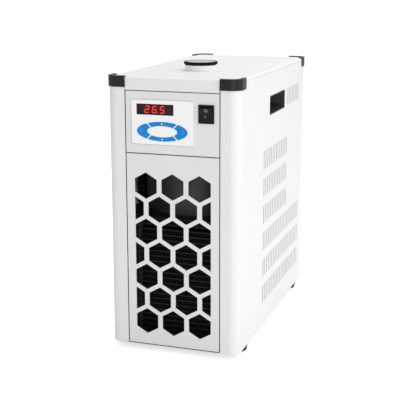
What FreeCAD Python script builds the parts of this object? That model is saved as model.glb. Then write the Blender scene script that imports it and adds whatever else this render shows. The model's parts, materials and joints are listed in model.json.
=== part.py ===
import FreeCAD, Part

import math
import os
from types import SimpleNamespace

import Sketcher

# Thermostatic water bath: a tower cabinet with a cooled and heated bath behind its front
# panels. Lengths are in millimetres. Every piece is drawn in the cabinet's frame: X to the
# right, Y back from the front face, Z up from the underside of the cabinet.

SIZES = {
    # Cabinet
    "body_width": 210.0,
    "body_depth": 430.0,
    "body_height": 420.0,
    "sheet": 1.2,
    "corner_radius": 15.0,
    "front_opening": 150.0,
    "seam": 1.0,
    "fold_radius": 1.0,
    "hem_depth": 13.0,
    "seat_half": 60.0,
    "seat_front": 4.0,
    "side_drop": 2.0,
    "panel_fit": 0.3,
    "front_y": 0.0,
    # Cover
    "cover_rim": 4.3,
    "cover_edge_radius": 3.0,
    "lip_height": 19.7,
    "lip_hem": 10.0,
    # Corner caps
    "cap_proud": 1.8,
    "cap_wall": 1.7,
    "cap_drop": 15.0,
    "cap_rise": 1.8,
    "cap_hook": 5.0,
    "cap_front_arm": 30.0,
    "cap_side_arm": 30.0,
    # Chassis tray and feet
    "tray_sheet": 1.5,
    "tray_wall": 14.0,
    "tray_corner": 4.0,
    "foot_height": 12.0,
    "foot_inset_x": 15.0,
    "foot_inset_y": 51.0,
    "foot_neck_radius": 12.5,
    "foot_top_radius": 15.0,
    "foot_sole_radius": 13.5,
    "foot_bolt_radius": 2.5,
    # Louvres
    "slot_width": 4.5,
    "slot_height": 30.3,
    "slot_pitch": 11.5,
    "slot_row_pitch": 45.1,
    "slot_first_y": 140.2,
    "slot_low_z": 36.6,
    "short_row_slots": 14,
    "long_row_slots": 22,
    "rows_each": 3,
    "vent_first_y": 294.4,
    "vent_slots": 8,
    "vent_height": 29.0,
    "rear_slots": 10,
    # Carrying recesses
    "handle_length": 101.3,
    "handle_height": 31.6,
    "handle_front": 174.5,
    "handle_drop": 42.7,
    "handle_depth": 28.0,
    "handle_wall": 1.8,
    "handle_end_taper": 9.0,
    "handle_floor_taper": 9.0,
    "handle_roof_taper": 3.0,
    "handle_flange": 4.0,
    "handle_fit": 0.2,
    # Honeycomb grille
    "fascia_height": 95.4,
    "hex_flats": 35.7,
    "hex_pitch": 43.2,
    "hex_row_pitch": 36.15,
    "hex_top_margin": 49.8,
    "hex_field_half": 61.2,
    "hex_long_rows": 4,
    "hex_long_columns": 3,
    # Control panel
    "overlay_width": 101.2,
    "overlay_height": 69.0,
    "overlay_left": 9.7,
    "overlay_low": 14.1,
    "overlay_thick": 1.2,
    "overlay_corner": 1.5,
    "overlay_border": 5.0,
    "window_width": 59.2,
    "window_height": 16.5,
    "window_left": 9.3,
    "window_top": 7.0,
    "window_fit": 0.15,
    "window_thick": 1.6,
    "window_sunk": 0.3,
    "ring_half_width": 40.5,
    "ring_half_height": 14.8,
    "island_half_width": 24.0,
    "island_half_height": 8.5,
    "ring_x": 50.1,
    "ring_z": 20.9,
    "bridge_width": 1.6,
    "bridge_x": 21.0,
    "bridge_z": 8.8,
    "key_fit": 0.2,
    "key_proud": 0.4,
    "key_flange": 0.7,
    "key_flange_thick": 1.0,
    "key_stem_radius": 1.5,
    "key_stem_length": 2.25,
    "key_contact": 3.0,
    "key_travel": 0.6,
    "board_y": 9.0,
    "board_thick": 1.6,
    "standoff_radius": 2.0,
    # Mains switch
    "bezel_width": 24.4,
    "bezel_height": 28.0,
    "bezel_thick": 2.0,
    "switch_left": 117.1,
    "switch_top": 17.2,
    "switch_body_width": 21.4,
    "switch_body_height": 25.0,
    "switch_depth": 22.0,
    "blade_width": 6.3,
    "blade_length": 7.0,
    "blade_spread": 8.0,
    "rocker_width": 18.4,
    "rocker_half_height": 10.4,
    "rocker_back": 3.5,
    "rocker_fit": 0.35,
    "rocker_swing": 1.0,
    "rocker_pivot": 2.0,
    "rocker_tip": 6.0,
    "rocker_valley": 4.2,
    "rocker_tilt": 7.0,
    "trunnion_radius": 1.2,
    "trunnion_fit": 0.05,
    "trunnion_length": 0.8,
    # Filler
    "filler_y": 135.0,
    "neck_bore": 18.6,
    "neck_tube": 21.5,
    "neck_collar": 25.2,
    "neck_collar_height": 9.0,
    "neck_flange": 30.0,
    "neck_flange_thick": 2.5,
    "cap_radius": 26.75,
    "cap_thick": 4.5,
    "cap_disc_radius": 23.4,
    "cap_disc_thick": 1.0,
    "cap_disc_sunk": 0.3,
    "cap_plug_fit": 0.4,
    "cap_plug_wall": 2.6,
    "cap_plug_length": 8.0,
    "gasket_thick": 0.8,
    # Bath
    "shelf_z": 198.5,
    "shelf_sheet": 1.5,
    "shelf_front": 22.0,
    "shelf_depth": 232.0,
    "shelf_half": 99.0,
    "shelf_leg": 16.0,
    "tank_radius": 70.0,
    "tank_wall": 1.5,
    "tank_top": 396.0,
    "tank_lid_thick": 2.0,
    "tank_rim_radius": 84.0,
    "jacket_radius": 88.0,
    "jacket_wall": 9.0,
    "jacket_half_gap": 44.0,
    "coil_tube": 4.0,
    "coil_fit": 0.5,
    "coil_pitch": 20.0,
    "coil_turns": 5,
    "coil_low": 42.0,
    "heater_tube": 4.0,
    "heater_spread": 20.0,
    "heater_bend": 18.0,
    "heater_back": 50.0,
    "heater_clear": 18.0,
    "probe_radius": 3.0,
    "probe_front": 55.0,
    "probe_clear": 60.0,
    # Cooling
    "condenser_y": 24.0,
    "condenser_deep": 22.0,
    "condenser_half": 78.0,
    "header_radius": 9.0,
    "flat_tube": 2.0,
    "tube_pitch": 8.7,
    "tube_rows": 20,
    "fin_sunk": 1.5,
    "fin_fit": 0.05,
    "channel_thick": 2.0,
    "shroud_sheet": 2.0,
    "fan_ring_radius": 72.0,
    "fan_ring_deep": 24.0,
    "fan_tip_gap": 4.0,
    "hub_radius": 20.0,
    "hub_length": 16.0,
    "fan_blades": 7,
    "blade_thick": 1.8,
    "blade_root_rise": 6.0,
    "blade_root_chord": 7.0,
    "blade_tip_rise": 5.0,
    "blade_tip_chord": 17.0,
    "shaft_radius": 3.0,
    "shaft_length": 20.0,
    "shaft_fit": 0.05,
    "fan_motor_radius": 24.0,
    "fan_motor_length": 36.0,
    "strut_width": 7.0,
    "strut_thick": 3.0,
    "compressor_y": 205.0,
    "compressor_radius": 58.0,
    "compressor_low": 15.0,
    "compressor_high": 172.0,
    "compressor_plate": 3.0,
    "compressor_dome": 26.0,
    "compressor_seam": 2.5,
    "compressor_ear": 62.0,
    "mount_radius": 9.0,
    "stud_head": 6.0,
    "terminal_width": 20.0,
    "terminal_length": 34.0,
    "terminal_low": 60.0,
    "terminal_height": 50.0,
    # Water circuit
    "hose_bore": 5.05,
    "hose_wall": 2.45,
    "stub_radius": 5.0,
    "stub_grip": 12.0,
    "port_x": 25.0,
    "port_z": 222.0,
    "port_reach": 30.0,
    "pump_y": 345.0,
    "pump_z": 50.0,
    "pump_motor_radius": 32.0,
    "pump_motor_length": 80.0,
    "pump_head_radius": 30.0,
    "pump_head_length": 40.0,
    "pump_x": 5.0,
    "pump_port": 16.0,
    "bracket_half": 22.0,
    "bracket_length": 56.0,
    "bracket_start": 12.0,
    "bracket_height": 32.0,
    "drain_boss_depth": 15.0,
    "barb_z": 130.0,
    "barb_reach": 25.0,
    "barb_radius": 5.0,
    "barb_bore": 3.6,
    "barb_nut": 10.5,
    "barb_tail": 16.0,
    "barb_groove": 0.8,
    "barb_ridges": 3,
    "barb_land": 12.0,
    "nut_thick": 3.8,
    "valve_length": 17.5,
    "stem_depth": 5.0,
    "drain_z": 30.0,
    "lever_length": 34.0,
    "lever_width": 8.0,
    "lever_thick": 2.0,
    "lever_corner": 3.8,
    # Refrigerant lines
    "line_radius": 3.0,
    "line_bend": 14.0,
    "line_side": 90.0,
    "drier_radius": 9.0,
    "drier_length": 60.0,
    "braze": 2.0,
    # Electrics at the rear
    "inlet_width": 27.4,
    "inlet_height": 20.0,
    "inlet_flange_width": 34.0,
    "inlet_flange_height": 26.0,
    "inlet_flange_thick": 2.5,
    "inlet_x": -40.0,
    "inlet_z": 262.0,
    "inlet_depth": 22.0,
    "socket_depth": 17.6,
    "socket_wall": 2.0,
    "socket_bevel": 4.0,
    "pin_spread": 7.0,
    "pin_length": 11.7,
    "box_half": 60.0,
    "box_depth": 70.0,
    "box_low": 296.0,
    "box_high": 388.0,
}

V = FreeCAD.Vector
doc = FreeCAD.newDocument("ThermostaticBath")
sheet = doc.addObject("Spreadsheet::Sheet", "Sizes")


class Size:
    """A length that carries its number and the spreadsheet expression behind it."""

    def __init__(self, number, text):
        self.number = float(number)
        self.text = text

    def __add__(self, other):
        other = as_size(other)
        return Size(self.number + other.number, f"({self.text} + {other.text})")

    def __sub__(self, other):
        other = as_size(other)
        return Size(self.number - other.number, f"({self.text} - {other.text})")

    def __mul__(self, other):
        other = as_size(other)
        return Size(self.number * other.number, f"({self.text} * {other.text})")

    def __truediv__(self, other):
        other = as_size(other)
        return Size(self.number / other.number, f"({self.text} / {other.text})")

    def __neg__(self):
        return Size(-self.number, f"(0 - {self.text})")

    def __rsub__(self, other):
        return as_size(other) - self

    __radd__ = __add__
    __rmul__ = __mul__


def as_size(value):
    """Take a Size as it is, and a plain number as an expression of its own."""
    return value if isinstance(value, Size) else Size(value, f"({float(value)})")


for row, (name, number) in enumerate(SIZES.items(), start=1):
    sheet.set(f"A{row}", name)
    sheet.set(f"B{row}", str(number))
    sheet.setAlias(f"B{row}", name)
doc.recompute()
mm = SimpleNamespace(**{name: Size(number, f"Sizes.{name}") for name, number in SIZES.items()})


def bind(thing, **values):
    """Bind properties of an object to the sheet."""
    for name, value in values.items():
        thing.setExpression(name, as_size(value).text)


def place(thing, x=0.0, y=0.0, z=0.0):
    """Set an object down in the row's frame at a point of the cabinet's frame."""
    for axis, value in zip("xyz", (as_size(x), mm.front_y + y, mm.foot_height + z)):
        thing.setExpression(f"Placement.Base.{axis}", value.text)


# Bodies, sketches and features

pieces = {}


def new_body(label, x=0.0, y=0.0, z=0.0, hidden=False):
    body = doc.addObject("PartDesign::Body", label)
    body.Label = label
    if not hidden:
        place(body, x, y, z)
        pieces[label] = body
    return body


def sketch_on(body, role, offset):
    sketch = body.newObject("Sketcher::SketchObject", body.Label + "_sketch")
    support = next(item for item in body.Origin.OriginFeatures if item.Role == role)
    sketch.AttachmentSupport = [(support, "")]
    sketch.MapMode = "FlatFace"
    sketch.setExpression("AttachmentOffset.Base.z", as_size(offset).text)
    return sketch


def plan(body, z=0.0):
    """A sketch seen from above, at a height."""
    return sketch_on(body, "XY_Plane", z)


def front(body, y=0.0):
    """A sketch seen from the front, at a depth."""
    return sketch_on(body, "XZ_Plane", -as_size(y))


def side(body, x=0.0):
    """A sketch seen from the right, at a distance from the middle."""
    return sketch_on(body, "YZ_Plane", x)


def hold(sketch, kind, geometry, point, value):
    value = as_size(value)
    index = sketch.addConstraint(Sketcher.Constraint(kind, -1, 1, geometry, point, value.number))
    sketch.setExpression(f"Constraints[{index}]", value.text)


def hold_radius(sketch, geometry, radius):
    index = sketch.addConstraint(Sketcher.Constraint("Radius", geometry, radius.number))
    sketch.setExpression(f"Constraints[{index}]", radius.text)


def outline(sketch, points):
    """A closed outline of straight sides through the given points."""
    points = [(as_size(x), as_size(y)) for x, y in points]
    first = sketch.GeometryCount
    corners = [V(x.number, y.number, 0) for x, y in points]
    count = len(corners)
    for index in range(count):
        sketch.addGeometry(Part.LineSegment(corners[index], corners[(index + 1) % count]), False)
    for index in range(count):
        after = first + (index + 1) % count
        sketch.addConstraint(Sketcher.Constraint("Coincident", first + index, 2, after, 1))
    for index, (x, y) in enumerate(points):
        hold(sketch, "DistanceX", first + index, 1, x)
        hold(sketch, "DistanceY", first + index, 1, y)


def rectangle(sketch, left, right, low, high):
    outline(sketch, [(left, low), (right, low), (right, high), (left, high)])


def rounded_rectangle(sketch, left, right, low, high, radius):
    """Four sides with equal tangent arcs at the corners."""
    left, right, low, high = (as_size(value) for value in (left, right, low, high))
    x0, x1, y0, y1, r = left.number, right.number, low.number, high.number, radius.number
    starts = [V(x0 + r, y0, 0), V(x1, y0 + r, 0), V(x1 - r, y1, 0), V(x0, y1 - r, 0)]
    ends = [V(x1 - r, y0, 0), V(x1, y1 - r, 0), V(x0 + r, y1, 0), V(x0, y0 + r, 0)]
    centres = [V(x1 - r, y0 + r, 0), V(x1 - r, y1 - r, 0), V(x0 + r, y1 - r, 0), V(x0 + r, y0 + r, 0)]
    first = sketch.GeometryCount
    for index in range(4):
        sketch.addGeometry(Part.LineSegment(starts[index], ends[index]), False)
        circle = Part.Circle(centres[index], V(0, 0, 1), r)
        turn = math.radians(90 * index - 90)
        sketch.addGeometry(Part.ArcOfCircle(circle, turn, turn + math.pi / 2), False)
    for index in range(4):
        line = first + 2 * index
        after = first + (2 * index + 2) % 8
        sketch.addConstraint(Sketcher.Constraint("Tangent", line, 2, line + 1, 1))
        sketch.addConstraint(Sketcher.Constraint("Tangent", line + 1, 2, after, 1))
        sketch.addConstraint(Sketcher.Constraint("Vertical" if index % 2 else "Horizontal", line))
        if index:
            sketch.addConstraint(Sketcher.Constraint("Equal", first + 1, line + 1))
    hold_radius(sketch, first + 1, radius)
    hold(sketch, "DistanceY", first, 1, low)
    hold(sketch, "DistanceX", first + 2, 1, right)
    hold(sketch, "DistanceY", first + 4, 1, high)
    hold(sketch, "DistanceX", first + 6, 1, left)


def circle(sketch, x, y, radius):
    x, y = as_size(x), as_size(y)
    index = sketch.addGeometry(Part.Circle(V(x.number, y.number, 0), V(0, 0, 1), radius.number), False)
    hold(sketch, "DistanceX", index, 3, x)
    hold(sketch, "DistanceY", index, 3, y)
    hold_radius(sketch, index, radius)


def pad(body, sketch, length, back=False):
    """Thicken a sketch towards its viewer, or away from the viewer."""
    feature = body.newObject("PartDesign::Pad", body.Label + "_pad")
    feature.Profile = sketch
    feature.Reversed = back
    bind(feature, Length=length)
    return feature


def pocket(body, sketch, depth=None, back=False):
    """Cut away from the viewer, right through where no depth is given."""
    feature = body.newObject("PartDesign::Pocket", body.Label + "_pocket")
    feature.Profile = sketch
    feature.Reversed = back
    if depth is None:
        feature.Type = "ThroughAll"
    else:
        bind(feature, Length=depth)
    return feature


def revolve(body, sketch):
    """Turn a half section about its sketch's upright axis."""
    feature = body.newObject("PartDesign::Revolution", body.Label + "_revolution")
    feature.Profile = sketch
    feature.ReferenceAxis = (sketch, ["V_Axis"])
    feature.Angle = 360.0
    return feature


def names(kind, shapes, test):
    """The names of the faces or edges that pass the test."""
    return [f"{kind}{index}" for index, shape in enumerate(shapes, start=1) if test(shape)]


def fillet(body, radius, test):
    """Round the edges of the body so far that pass the test."""
    doc.recompute()
    base = body.Tip
    feature = body.newObject("PartDesign::Fillet", body.Label + "_fillet")
    feature.Base = (base, names("Edge", base.Shape.Edges, test))
    bind(feature, Radius=radius)
    return feature


def shell(body, wall, test):
    """Hollow the body so far, open at the faces that pass the test."""
    doc.recompute()
    base = body.Tip
    feature = body.newObject("PartDesign::Thickness", body.Label + "_shell")
    feature.Base = (base, names("Face", base.Shape.Faces, test))
    feature.Reversed = True
    feature.Join = 1
    bind(feature, Value=wall)
    return feature


def pattern(body, feature, *steps):
    """Repeat a feature along axes of its body, each step an axis, a length and a count."""
    rows = []
    for role, length, count in steps:
        row = doc.addObject("PartDesign::LinearPattern", body.Label + "_row")
        axis = next(item for item in body.Origin.OriginFeatures if item.Role == role)
        row.Direction = (axis, [""])
        bind(row, Length=length, Occurrences=count)
        rows.append(row)
    field = body.newObject("PartDesign::MultiTransform", body.Label + "_field")
    field.Originals = [feature]
    field.Transformations = rows
    for row in rows:
        body.addObject(row)
    body.Tip = field
    return field


def left_hand(label, source):
    """The left piece that mirrors a right one."""
    copy = doc.addObject("Part::Mirroring", label)
    copy.Label = label
    copy.Source = source
    copy.Normal = V(1, 0, 0)
    pieces[label] = copy


def joined(kind, label, base, tool):
    """A piece made of two objects by a boolean operation."""
    result = doc.addObject(kind, label)
    result.Label = label
    result.Base = base
    result.Tool = tool
    pieces[label] = result


def solid_piece(label, shape):
    """A piece whose shape is worked out in the cabinet's frame and then set down."""
    feature = doc.addObject("Part::Feature", label)
    feature.Label = label
    feature.Shape = shape
    place(feature)
    pieces[label] = feature


def on_level(axis, level):
    """A test for edges and faces that lie wholly at one level of an axis."""
    level = as_size(level).number

    def test(shape):
        box = shape.BoundBox
        return all(abs(getattr(box, axis + end) - level) < 0.01 for end in ("Min", "Max"))

    return test


def upright_at(*places):
    """A test for upright edges that stand at any of the given x and y."""

    def test(edge):
        box = edge.BoundBox
        return box.XLength < 0.01 and box.YLength < 0.01 and any(
            abs(box.XMin - x.number) < 0.01 and abs(box.YMin - y.number) < 0.01 for x, y in places)

    return test


half_width = mm.body_width / 2
panel_half = (mm.front_opening - mm.seam) / 2
return_edge = (mm.front_opening + mm.seam) / 2
rim_low = mm.body_height - mm.cover_rim
panel_top = rim_low - mm.panel_fit
lip_low = mm.body_height - mm.lip_height
grille_high = lip_low - mm.fascia_height
beyond = mm.corner_radius

# Side panels: one folded sheet each, wrapped round both upright corners and hemmed inwards

right_panel = new_body("right_side_panel")
ring = plan(right_panel, -mm.side_drop)
rounded_rectangle(ring, -half_width, half_width, 0, mm.body_depth, mm.corner_radius)
rounded_rectangle(ring, mm.sheet - half_width, half_width - mm.sheet, mm.sheet,
                  mm.body_depth - mm.sheet, mm.corner_radius - mm.sheet)
pad(right_panel, ring, panel_top + mm.side_drop)
away = plan(right_panel, panel_top)
rectangle(away, -half_width - beyond, return_edge, -beyond, mm.body_depth + beyond)
pocket(right_panel, away)
hems = plan(right_panel, -mm.side_drop)
rectangle(hems, return_edge, return_edge + mm.sheet, mm.sheet / 2, mm.hem_depth)
rectangle(hems, return_edge, return_edge + mm.sheet, mm.body_depth - mm.hem_depth,
          mm.body_depth - mm.sheet / 2)
pad(right_panel, hems, panel_top + mm.side_drop)
fillet(right_panel, mm.fold_radius,
       upright_at((return_edge, as_size(0)), (return_edge, mm.body_depth)))

handle_high = mm.body_height - mm.handle_drop
handle_low = handle_high - mm.handle_height
handle_rear = mm.handle_front + mm.handle_length
opening = side(right_panel, half_width)
rectangle(opening, mm.handle_front, handle_rear, handle_low, handle_high)
pocket(right_panel, opening, 2 * mm.sheet)


def slot_rows(body, first_y, low, height, count, rows):
    """Upright slots cut through the side, repeated back along a row and up from row to row."""
    slot = side(body, half_width)
    rectangle(slot, first_y, first_y + mm.slot_width, low, low + height)
    opened = pocket(body, slot, 2 * mm.sheet)
    steps = [("Y_Axis", mm.slot_pitch * (count - 1), count)]
    if rows is not None:
        steps.append(("Z_Axis", mm.slot_row_pitch * (rows - 1), rows))
    pattern(body, opened, *steps)


upper_low = mm.slot_low_z + mm.slot_row_pitch * mm.rows_each
slot_rows(right_panel, mm.slot_first_y, mm.slot_low_z, mm.slot_height, mm.long_row_slots, mm.rows_each)
slot_rows(right_panel, mm.slot_first_y, upper_low, mm.slot_height, mm.short_row_slots, mm.rows_each)
slot_rows(right_panel, mm.vent_first_y, handle_high - mm.vent_height, mm.vent_height,
          mm.vent_slots, None)
left_hand("left_side_panel", right_panel)

# Top cover: a sheet with a rounded rim, a lip folded down in front and the filler hole

cover = new_body("top_cover")
blank = plan(cover, rim_low)
rounded_rectangle(blank, -half_width, half_width, 0, mm.body_depth, mm.corner_radius)
pad(cover, blank, mm.cover_rim)
fillet(cover, mm.cover_edge_radius, on_level("Z", mm.body_height))
hollow = plan(cover, rim_low)
rounded_rectangle(hollow, mm.sheet - half_width, half_width - mm.sheet, mm.sheet,
                  mm.body_depth - mm.sheet, mm.corner_radius - mm.sheet)
pocket(cover, hollow, mm.cover_rim - mm.sheet, back=True)
lip = front(cover)
rectangle(lip, -panel_half, panel_half, lip_low + mm.seam / 2, rim_low + mm.fold_radius)
pad(cover, lip, mm.sheet, back=True)
lip_hem = plan(cover, lip_low + mm.seam / 2)
rectangle(lip_hem, -panel_half, panel_half, mm.sheet / 2, mm.lip_hem)
pad(cover, lip_hem, mm.sheet)
filler_hole = plan(cover, mm.body_height)
circle(filler_hole, 0, mm.filler_y, mm.neck_tube + mm.panel_fit)
pocket(cover, filler_hole, mm.cover_rim)


def front_panel(label, low, high):
    """A flat panel with all four edges folded back between the side panels."""
    body = new_body(label)
    face = front(body)
    rectangle(face, -panel_half, panel_half, low, high)
    pad(body, face, mm.hem_depth, back=True)
    shell(body, mm.sheet, on_level("Y", mm.hem_depth))
    fillet(body, mm.fold_radius, on_level("Y", 0.0))
    return body


# Honeycomb grille: rows of three whole openings alternate with rows of two and two clipped ones

grille_top = grille_high - mm.seam / 2
grille = front_panel("front_grille", as_size(0), grille_top)
hex_corner = mm.hex_flats / math.sqrt(3)


def hexagon(body, x, z):
    """One six-sided opening, a corner up."""
    flat = mm.hex_flats / 2
    sketch = front(body)
    outline(sketch, [(x - flat, z - hex_corner / 2), (x, z - hex_corner), (x + flat, z - hex_corner / 2),
                     (x + flat, z + hex_corner / 2), (x, z + hex_corner), (x - flat, z + hex_corner / 2)])
    return pocket(body, sketch, 2 * mm.sheet)


def clipped_hexagon(body, turn, z):
    """The inner half of an opening whose outer half the edge of the field cuts off."""
    x = turn * mm.hex_pitch * mm.hex_long_columns / 2
    flat = x - turn * mm.hex_flats / 2
    edge = turn * mm.hex_field_half
    rise = hex_corner - turn * (x - edge) / math.sqrt(3)
    sketch = front(body)
    outline(sketch, [(edge, z - rise), (edge, z + rise), (flat, z + hex_corner / 2), (flat, z - hex_corner / 2)])
    return pocket(body, sketch, 2 * mm.sheet)


short_rows = mm.hex_long_rows - 1
long_rise = 2 * mm.hex_row_pitch * short_rows
short_rise = long_rise - 2 * mm.hex_row_pitch
first_long = grille_high - mm.hex_top_margin - long_rise
first_short = first_long + mm.hex_row_pitch
long_run = mm.hex_pitch * (mm.hex_long_columns - 1)
short_run = long_run - mm.hex_pitch
whole = hexagon(grille, -long_run / 2, first_long)
pattern(grille, whole, ("X_Axis", long_run, mm.hex_long_columns), ("Z_Axis", long_rise, mm.hex_long_rows))
between = hexagon(grille, -short_run / 2, first_short)
pattern(grille, between, ("X_Axis", short_run, mm.hex_long_columns - 1), ("Z_Axis", short_rise, short_rows))
for turn in (-1, 1):
    clipped = clipped_hexagon(grille, turn, first_short)
    pattern(grille, clipped, ("Z_Axis", short_rise, short_rows))


def seat_strip(body, z):
    """A strip on a panel's upper hem that carries what stands on it across the seam."""
    strip = plan(body, z)
    rectangle(strip, -mm.seat_half, mm.seat_half, mm.seat_front, mm.lip_hem)
    pad(body, strip, mm.seam)


seat_strip(grille, grille_top)

# Control panel with its two cut-outs

fascia_low = grille_high + mm.seam / 2
fascia_top = lip_low - mm.seam / 2
fascia = front_panel("control_panel", fascia_low, fascia_top)
seat_strip(fascia, fascia_top)
overlay_left = mm.overlay_left - mm.front_opening / 2
overlay_right = overlay_left + mm.overlay_width
overlay_low = grille_high + mm.overlay_low
overlay_high = overlay_low + mm.overlay_height
keypad_hole = front(fascia)
rectangle(keypad_hole, overlay_left + mm.overlay_border, overlay_right - mm.overlay_border,
          overlay_low + mm.overlay_border / 2, overlay_high - mm.overlay_border / 2)
pocket(fascia, keypad_hole, 2 * mm.sheet)
bezel_left = mm.switch_left - mm.front_opening / 2
bezel_high = lip_low - mm.switch_top
switch_x = bezel_left + mm.bezel_width / 2
switch_z = bezel_high - mm.bezel_height / 2
switch_hole = front(fascia)
rectangle(switch_hole, switch_x - mm.switch_body_width / 2 - mm.panel_fit,
          switch_x + mm.switch_body_width / 2 + mm.panel_fit,
          switch_z - mm.switch_body_height / 2 - mm.panel_fit,
          switch_z + mm.switch_body_height / 2 + mm.panel_fit)
pocket(fascia, switch_hole, 2 * mm.sheet)

# Keypad overlay with the display opening and four key openings round a white island

plate = new_body("overlay_plate", hidden=True)
place(plate)
plate_face = front(plate)
rounded_rectangle(plate_face, overlay_left, overlay_right, overlay_low, overlay_high, mm.overlay_corner)
pad(plate, plate_face, mm.overlay_thick)
fillet(plate, mm.overlay_thick / 3, on_level("Y", -mm.overlay_thick))
window_left = overlay_left + mm.window_left
window_high = overlay_high - mm.window_top
window_hole = front(plate, -mm.overlay_thick)
rectangle(window_hole, window_left, window_left + mm.window_width, window_high - mm.window_height, window_high)
pocket(plate, window_hole)
ring_centre = V((overlay_left + mm.ring_x).number, 0, (overlay_low + mm.ring_z).number)


def oval(half_x, half_z, near, far):
    """An oval slab that faces the front, from one depth to another."""
    curve = Part.Ellipse(V(0, 0, 0), half_x, half_z).toShape()
    slab = Part.Face(Part.Wire([curve])).extrude(V(0, 0, far - near))
    slab.rotate(V(0, 0, 0), V(1, 0, 0), 90)
    slab.translate(ring_centre + V(0, far, 0))
    return slab


def key_ring(grow, near, far):
    """Four quarters of an oval ring, parted by slanting bridges and grown all round."""
    ring = oval(mm.ring_half_width.number + grow, mm.ring_half_height.number + grow, near, far)
    island = oval(mm.island_half_width.number - grow, mm.island_half_height.number - grow,
                  near - 1, far + 1)
    ring = ring.cut(island)
    width = mm.bridge_width.number - 2 * grow
    length = 2 * mm.ring_half_height.number
    for turn_x in (-1, 1):
        for turn_z in (-1, 1):
            bar = Part.makeBox(length, far - near + 2, width, V(-length / 2, near - 1, -width / 2))
            bar.rotate(V(0, 0, 0), V(0, 1, 0), -45 * turn_x * turn_z)
            bar.translate(ring_centre + V(turn_x * mm.bridge_x.number, 0, turn_z * mm.bridge_z.number))
            ring = ring.cut(bar)
    return ring.Solids


overlay_thick = mm.overlay_thick.number
openings = doc.addObject("Part::Feature", "key_openings")
openings.Shape = Part.makeCompound(key_ring(0.0, -overlay_thick - 1, 1))
place(openings)
joined("Part::Cut", "keypad_overlay", plate, openings)

# Keys: a boss in each opening, a wider flange behind the overlay and a stem to the board

key_across = (mm.ring_half_width + mm.island_half_width) / 2
key_upward = (mm.ring_half_height + mm.island_half_height) / 2
key_sides = {"key_left": (-1, 0), "key_right": (1, 0), "key_up": (0, 1), "key_down": (0, -1)}
stem_end = mm.key_flange_thick + mm.key_stem_length
key_fit = mm.key_fit.number
flange_y = key_fit / 2
bosses = key_ring(-key_fit, -overlay_thick - mm.key_proud.number, flange_y)
flanges = key_ring(mm.key_flange.number, flange_y, flange_y + mm.key_flange_thick.number)
for label, (turn_x, turn_z) in key_sides.items():
    spot = ring_centre + V(turn_x * key_across.number, 0, turn_z * key_upward.number)
    boss, flange = (min(solids, key=lambda solid: (solid.CenterOfMass - spot).Length)
                    for solids in (bosses, flanges))
    stem = Part.makeCylinder(mm.key_stem_radius.number, stem_end.number, spot, V(0, 1, 0))
    solid_piece(label, boss.fuse([flange, stem]).removeSplitter())

# Display window, sunk a little into the overlay

window = new_body("display_window")
pane_y = mm.window_sunk - mm.overlay_thick
pane = front(window, pane_y)
rectangle(pane, window_left + mm.window_fit, window_left + mm.window_width - mm.window_fit,
          window_high - mm.window_height + mm.window_fit, window_high - mm.window_fit)
pad(window, pane, mm.window_thick, back=True)

# Controller board: circuit board on four stand-offs, display block and one contact behind each key

board = new_body("controller_board")
board_face = front(board, mm.board_y)
rectangle(board_face, overlay_left, overlay_right, overlay_low, overlay_high)
pad(board, board_face, mm.board_thick, back=True)
posts = front(board, mm.sheet)
post_inset = mm.standoff_radius + mm.sheet / 4
for post_x in (overlay_left + post_inset, overlay_right - post_inset):
    for post_z in (overlay_low + mm.overlay_height / 3, overlay_high - mm.overlay_height / 3):
        circle(posts, post_x, post_z, mm.standoff_radius)
pad(board, posts, mm.board_y - mm.sheet, back=True)
block_y = pane_y + mm.window_thick + mm.window_fit
block = front(board, block_y)
rectangle(block, window_left + mm.sheet, window_left + mm.window_width - mm.sheet,
          window_high - mm.window_height + mm.sheet, window_high - mm.sheet)
pad(board, block, mm.board_y - block_y, back=True)
contact_y = stem_end + mm.key_travel + mm.key_fit / 2
contacts = front(board, contact_y)
for turn_x, turn_z in key_sides.values():
    contact_x = overlay_left + mm.ring_x + turn_x * key_across
    contact_z = overlay_low + mm.ring_z + turn_z * key_upward
    rectangle(contacts, contact_x - mm.key_contact, contact_x + mm.key_contact,
              contact_z - mm.key_contact, contact_z + mm.key_contact)
pad(board, contacts, mm.board_y - contact_y, back=True)

# Mains switch: a snap-in housing with three blades, and a rocker on two trunnions

housing = new_body("switch_housing")
bezel = front(housing)
rounded_rectangle(bezel, bezel_left, bezel_left + mm.bezel_width, bezel_high - mm.bezel_height,
                  bezel_high, mm.bezel_thick / 2)
pad(housing, bezel, mm.bezel_thick)
fillet(housing, mm.fold_radius / 2, on_level("Y", -mm.bezel_thick))
switch_body = front(housing)
rectangle(switch_body, switch_x - mm.switch_body_width / 2, switch_x + mm.switch_body_width / 2,
          switch_z - mm.switch_body_height / 2, switch_z + mm.switch_body_height / 2)
pad(housing, switch_body, mm.switch_depth, back=True)
well = front(housing, -mm.bezel_thick)
well_half = mm.rocker_width / 2 + mm.rocker_fit / 2
well_rise = mm.rocker_half_height + mm.rocker_swing
rectangle(well, switch_x - well_half, switch_x + well_half, switch_z - well_rise, switch_z + well_rise)
pocket(housing, well, mm.bezel_thick + mm.switch_depth / 2)
blades = front(housing, mm.switch_depth)
for step in (-1, 0, 1):
    blade_z = switch_z + step * mm.blade_spread
    rectangle(blades, switch_x - mm.blade_width / 2, switch_x + mm.blade_width / 2,
              blade_z - mm.trunnion_length / 2, blade_z + mm.trunnion_length / 2)
pad(housing, blades, mm.blade_length, back=True)
trunnion_bore = side(housing, switch_x + mm.switch_body_width / 2)
circle(trunnion_bore, mm.rocker_pivot, switch_z, mm.trunnion_radius + mm.trunnion_fit)
pocket(housing, trunnion_bore)

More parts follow.
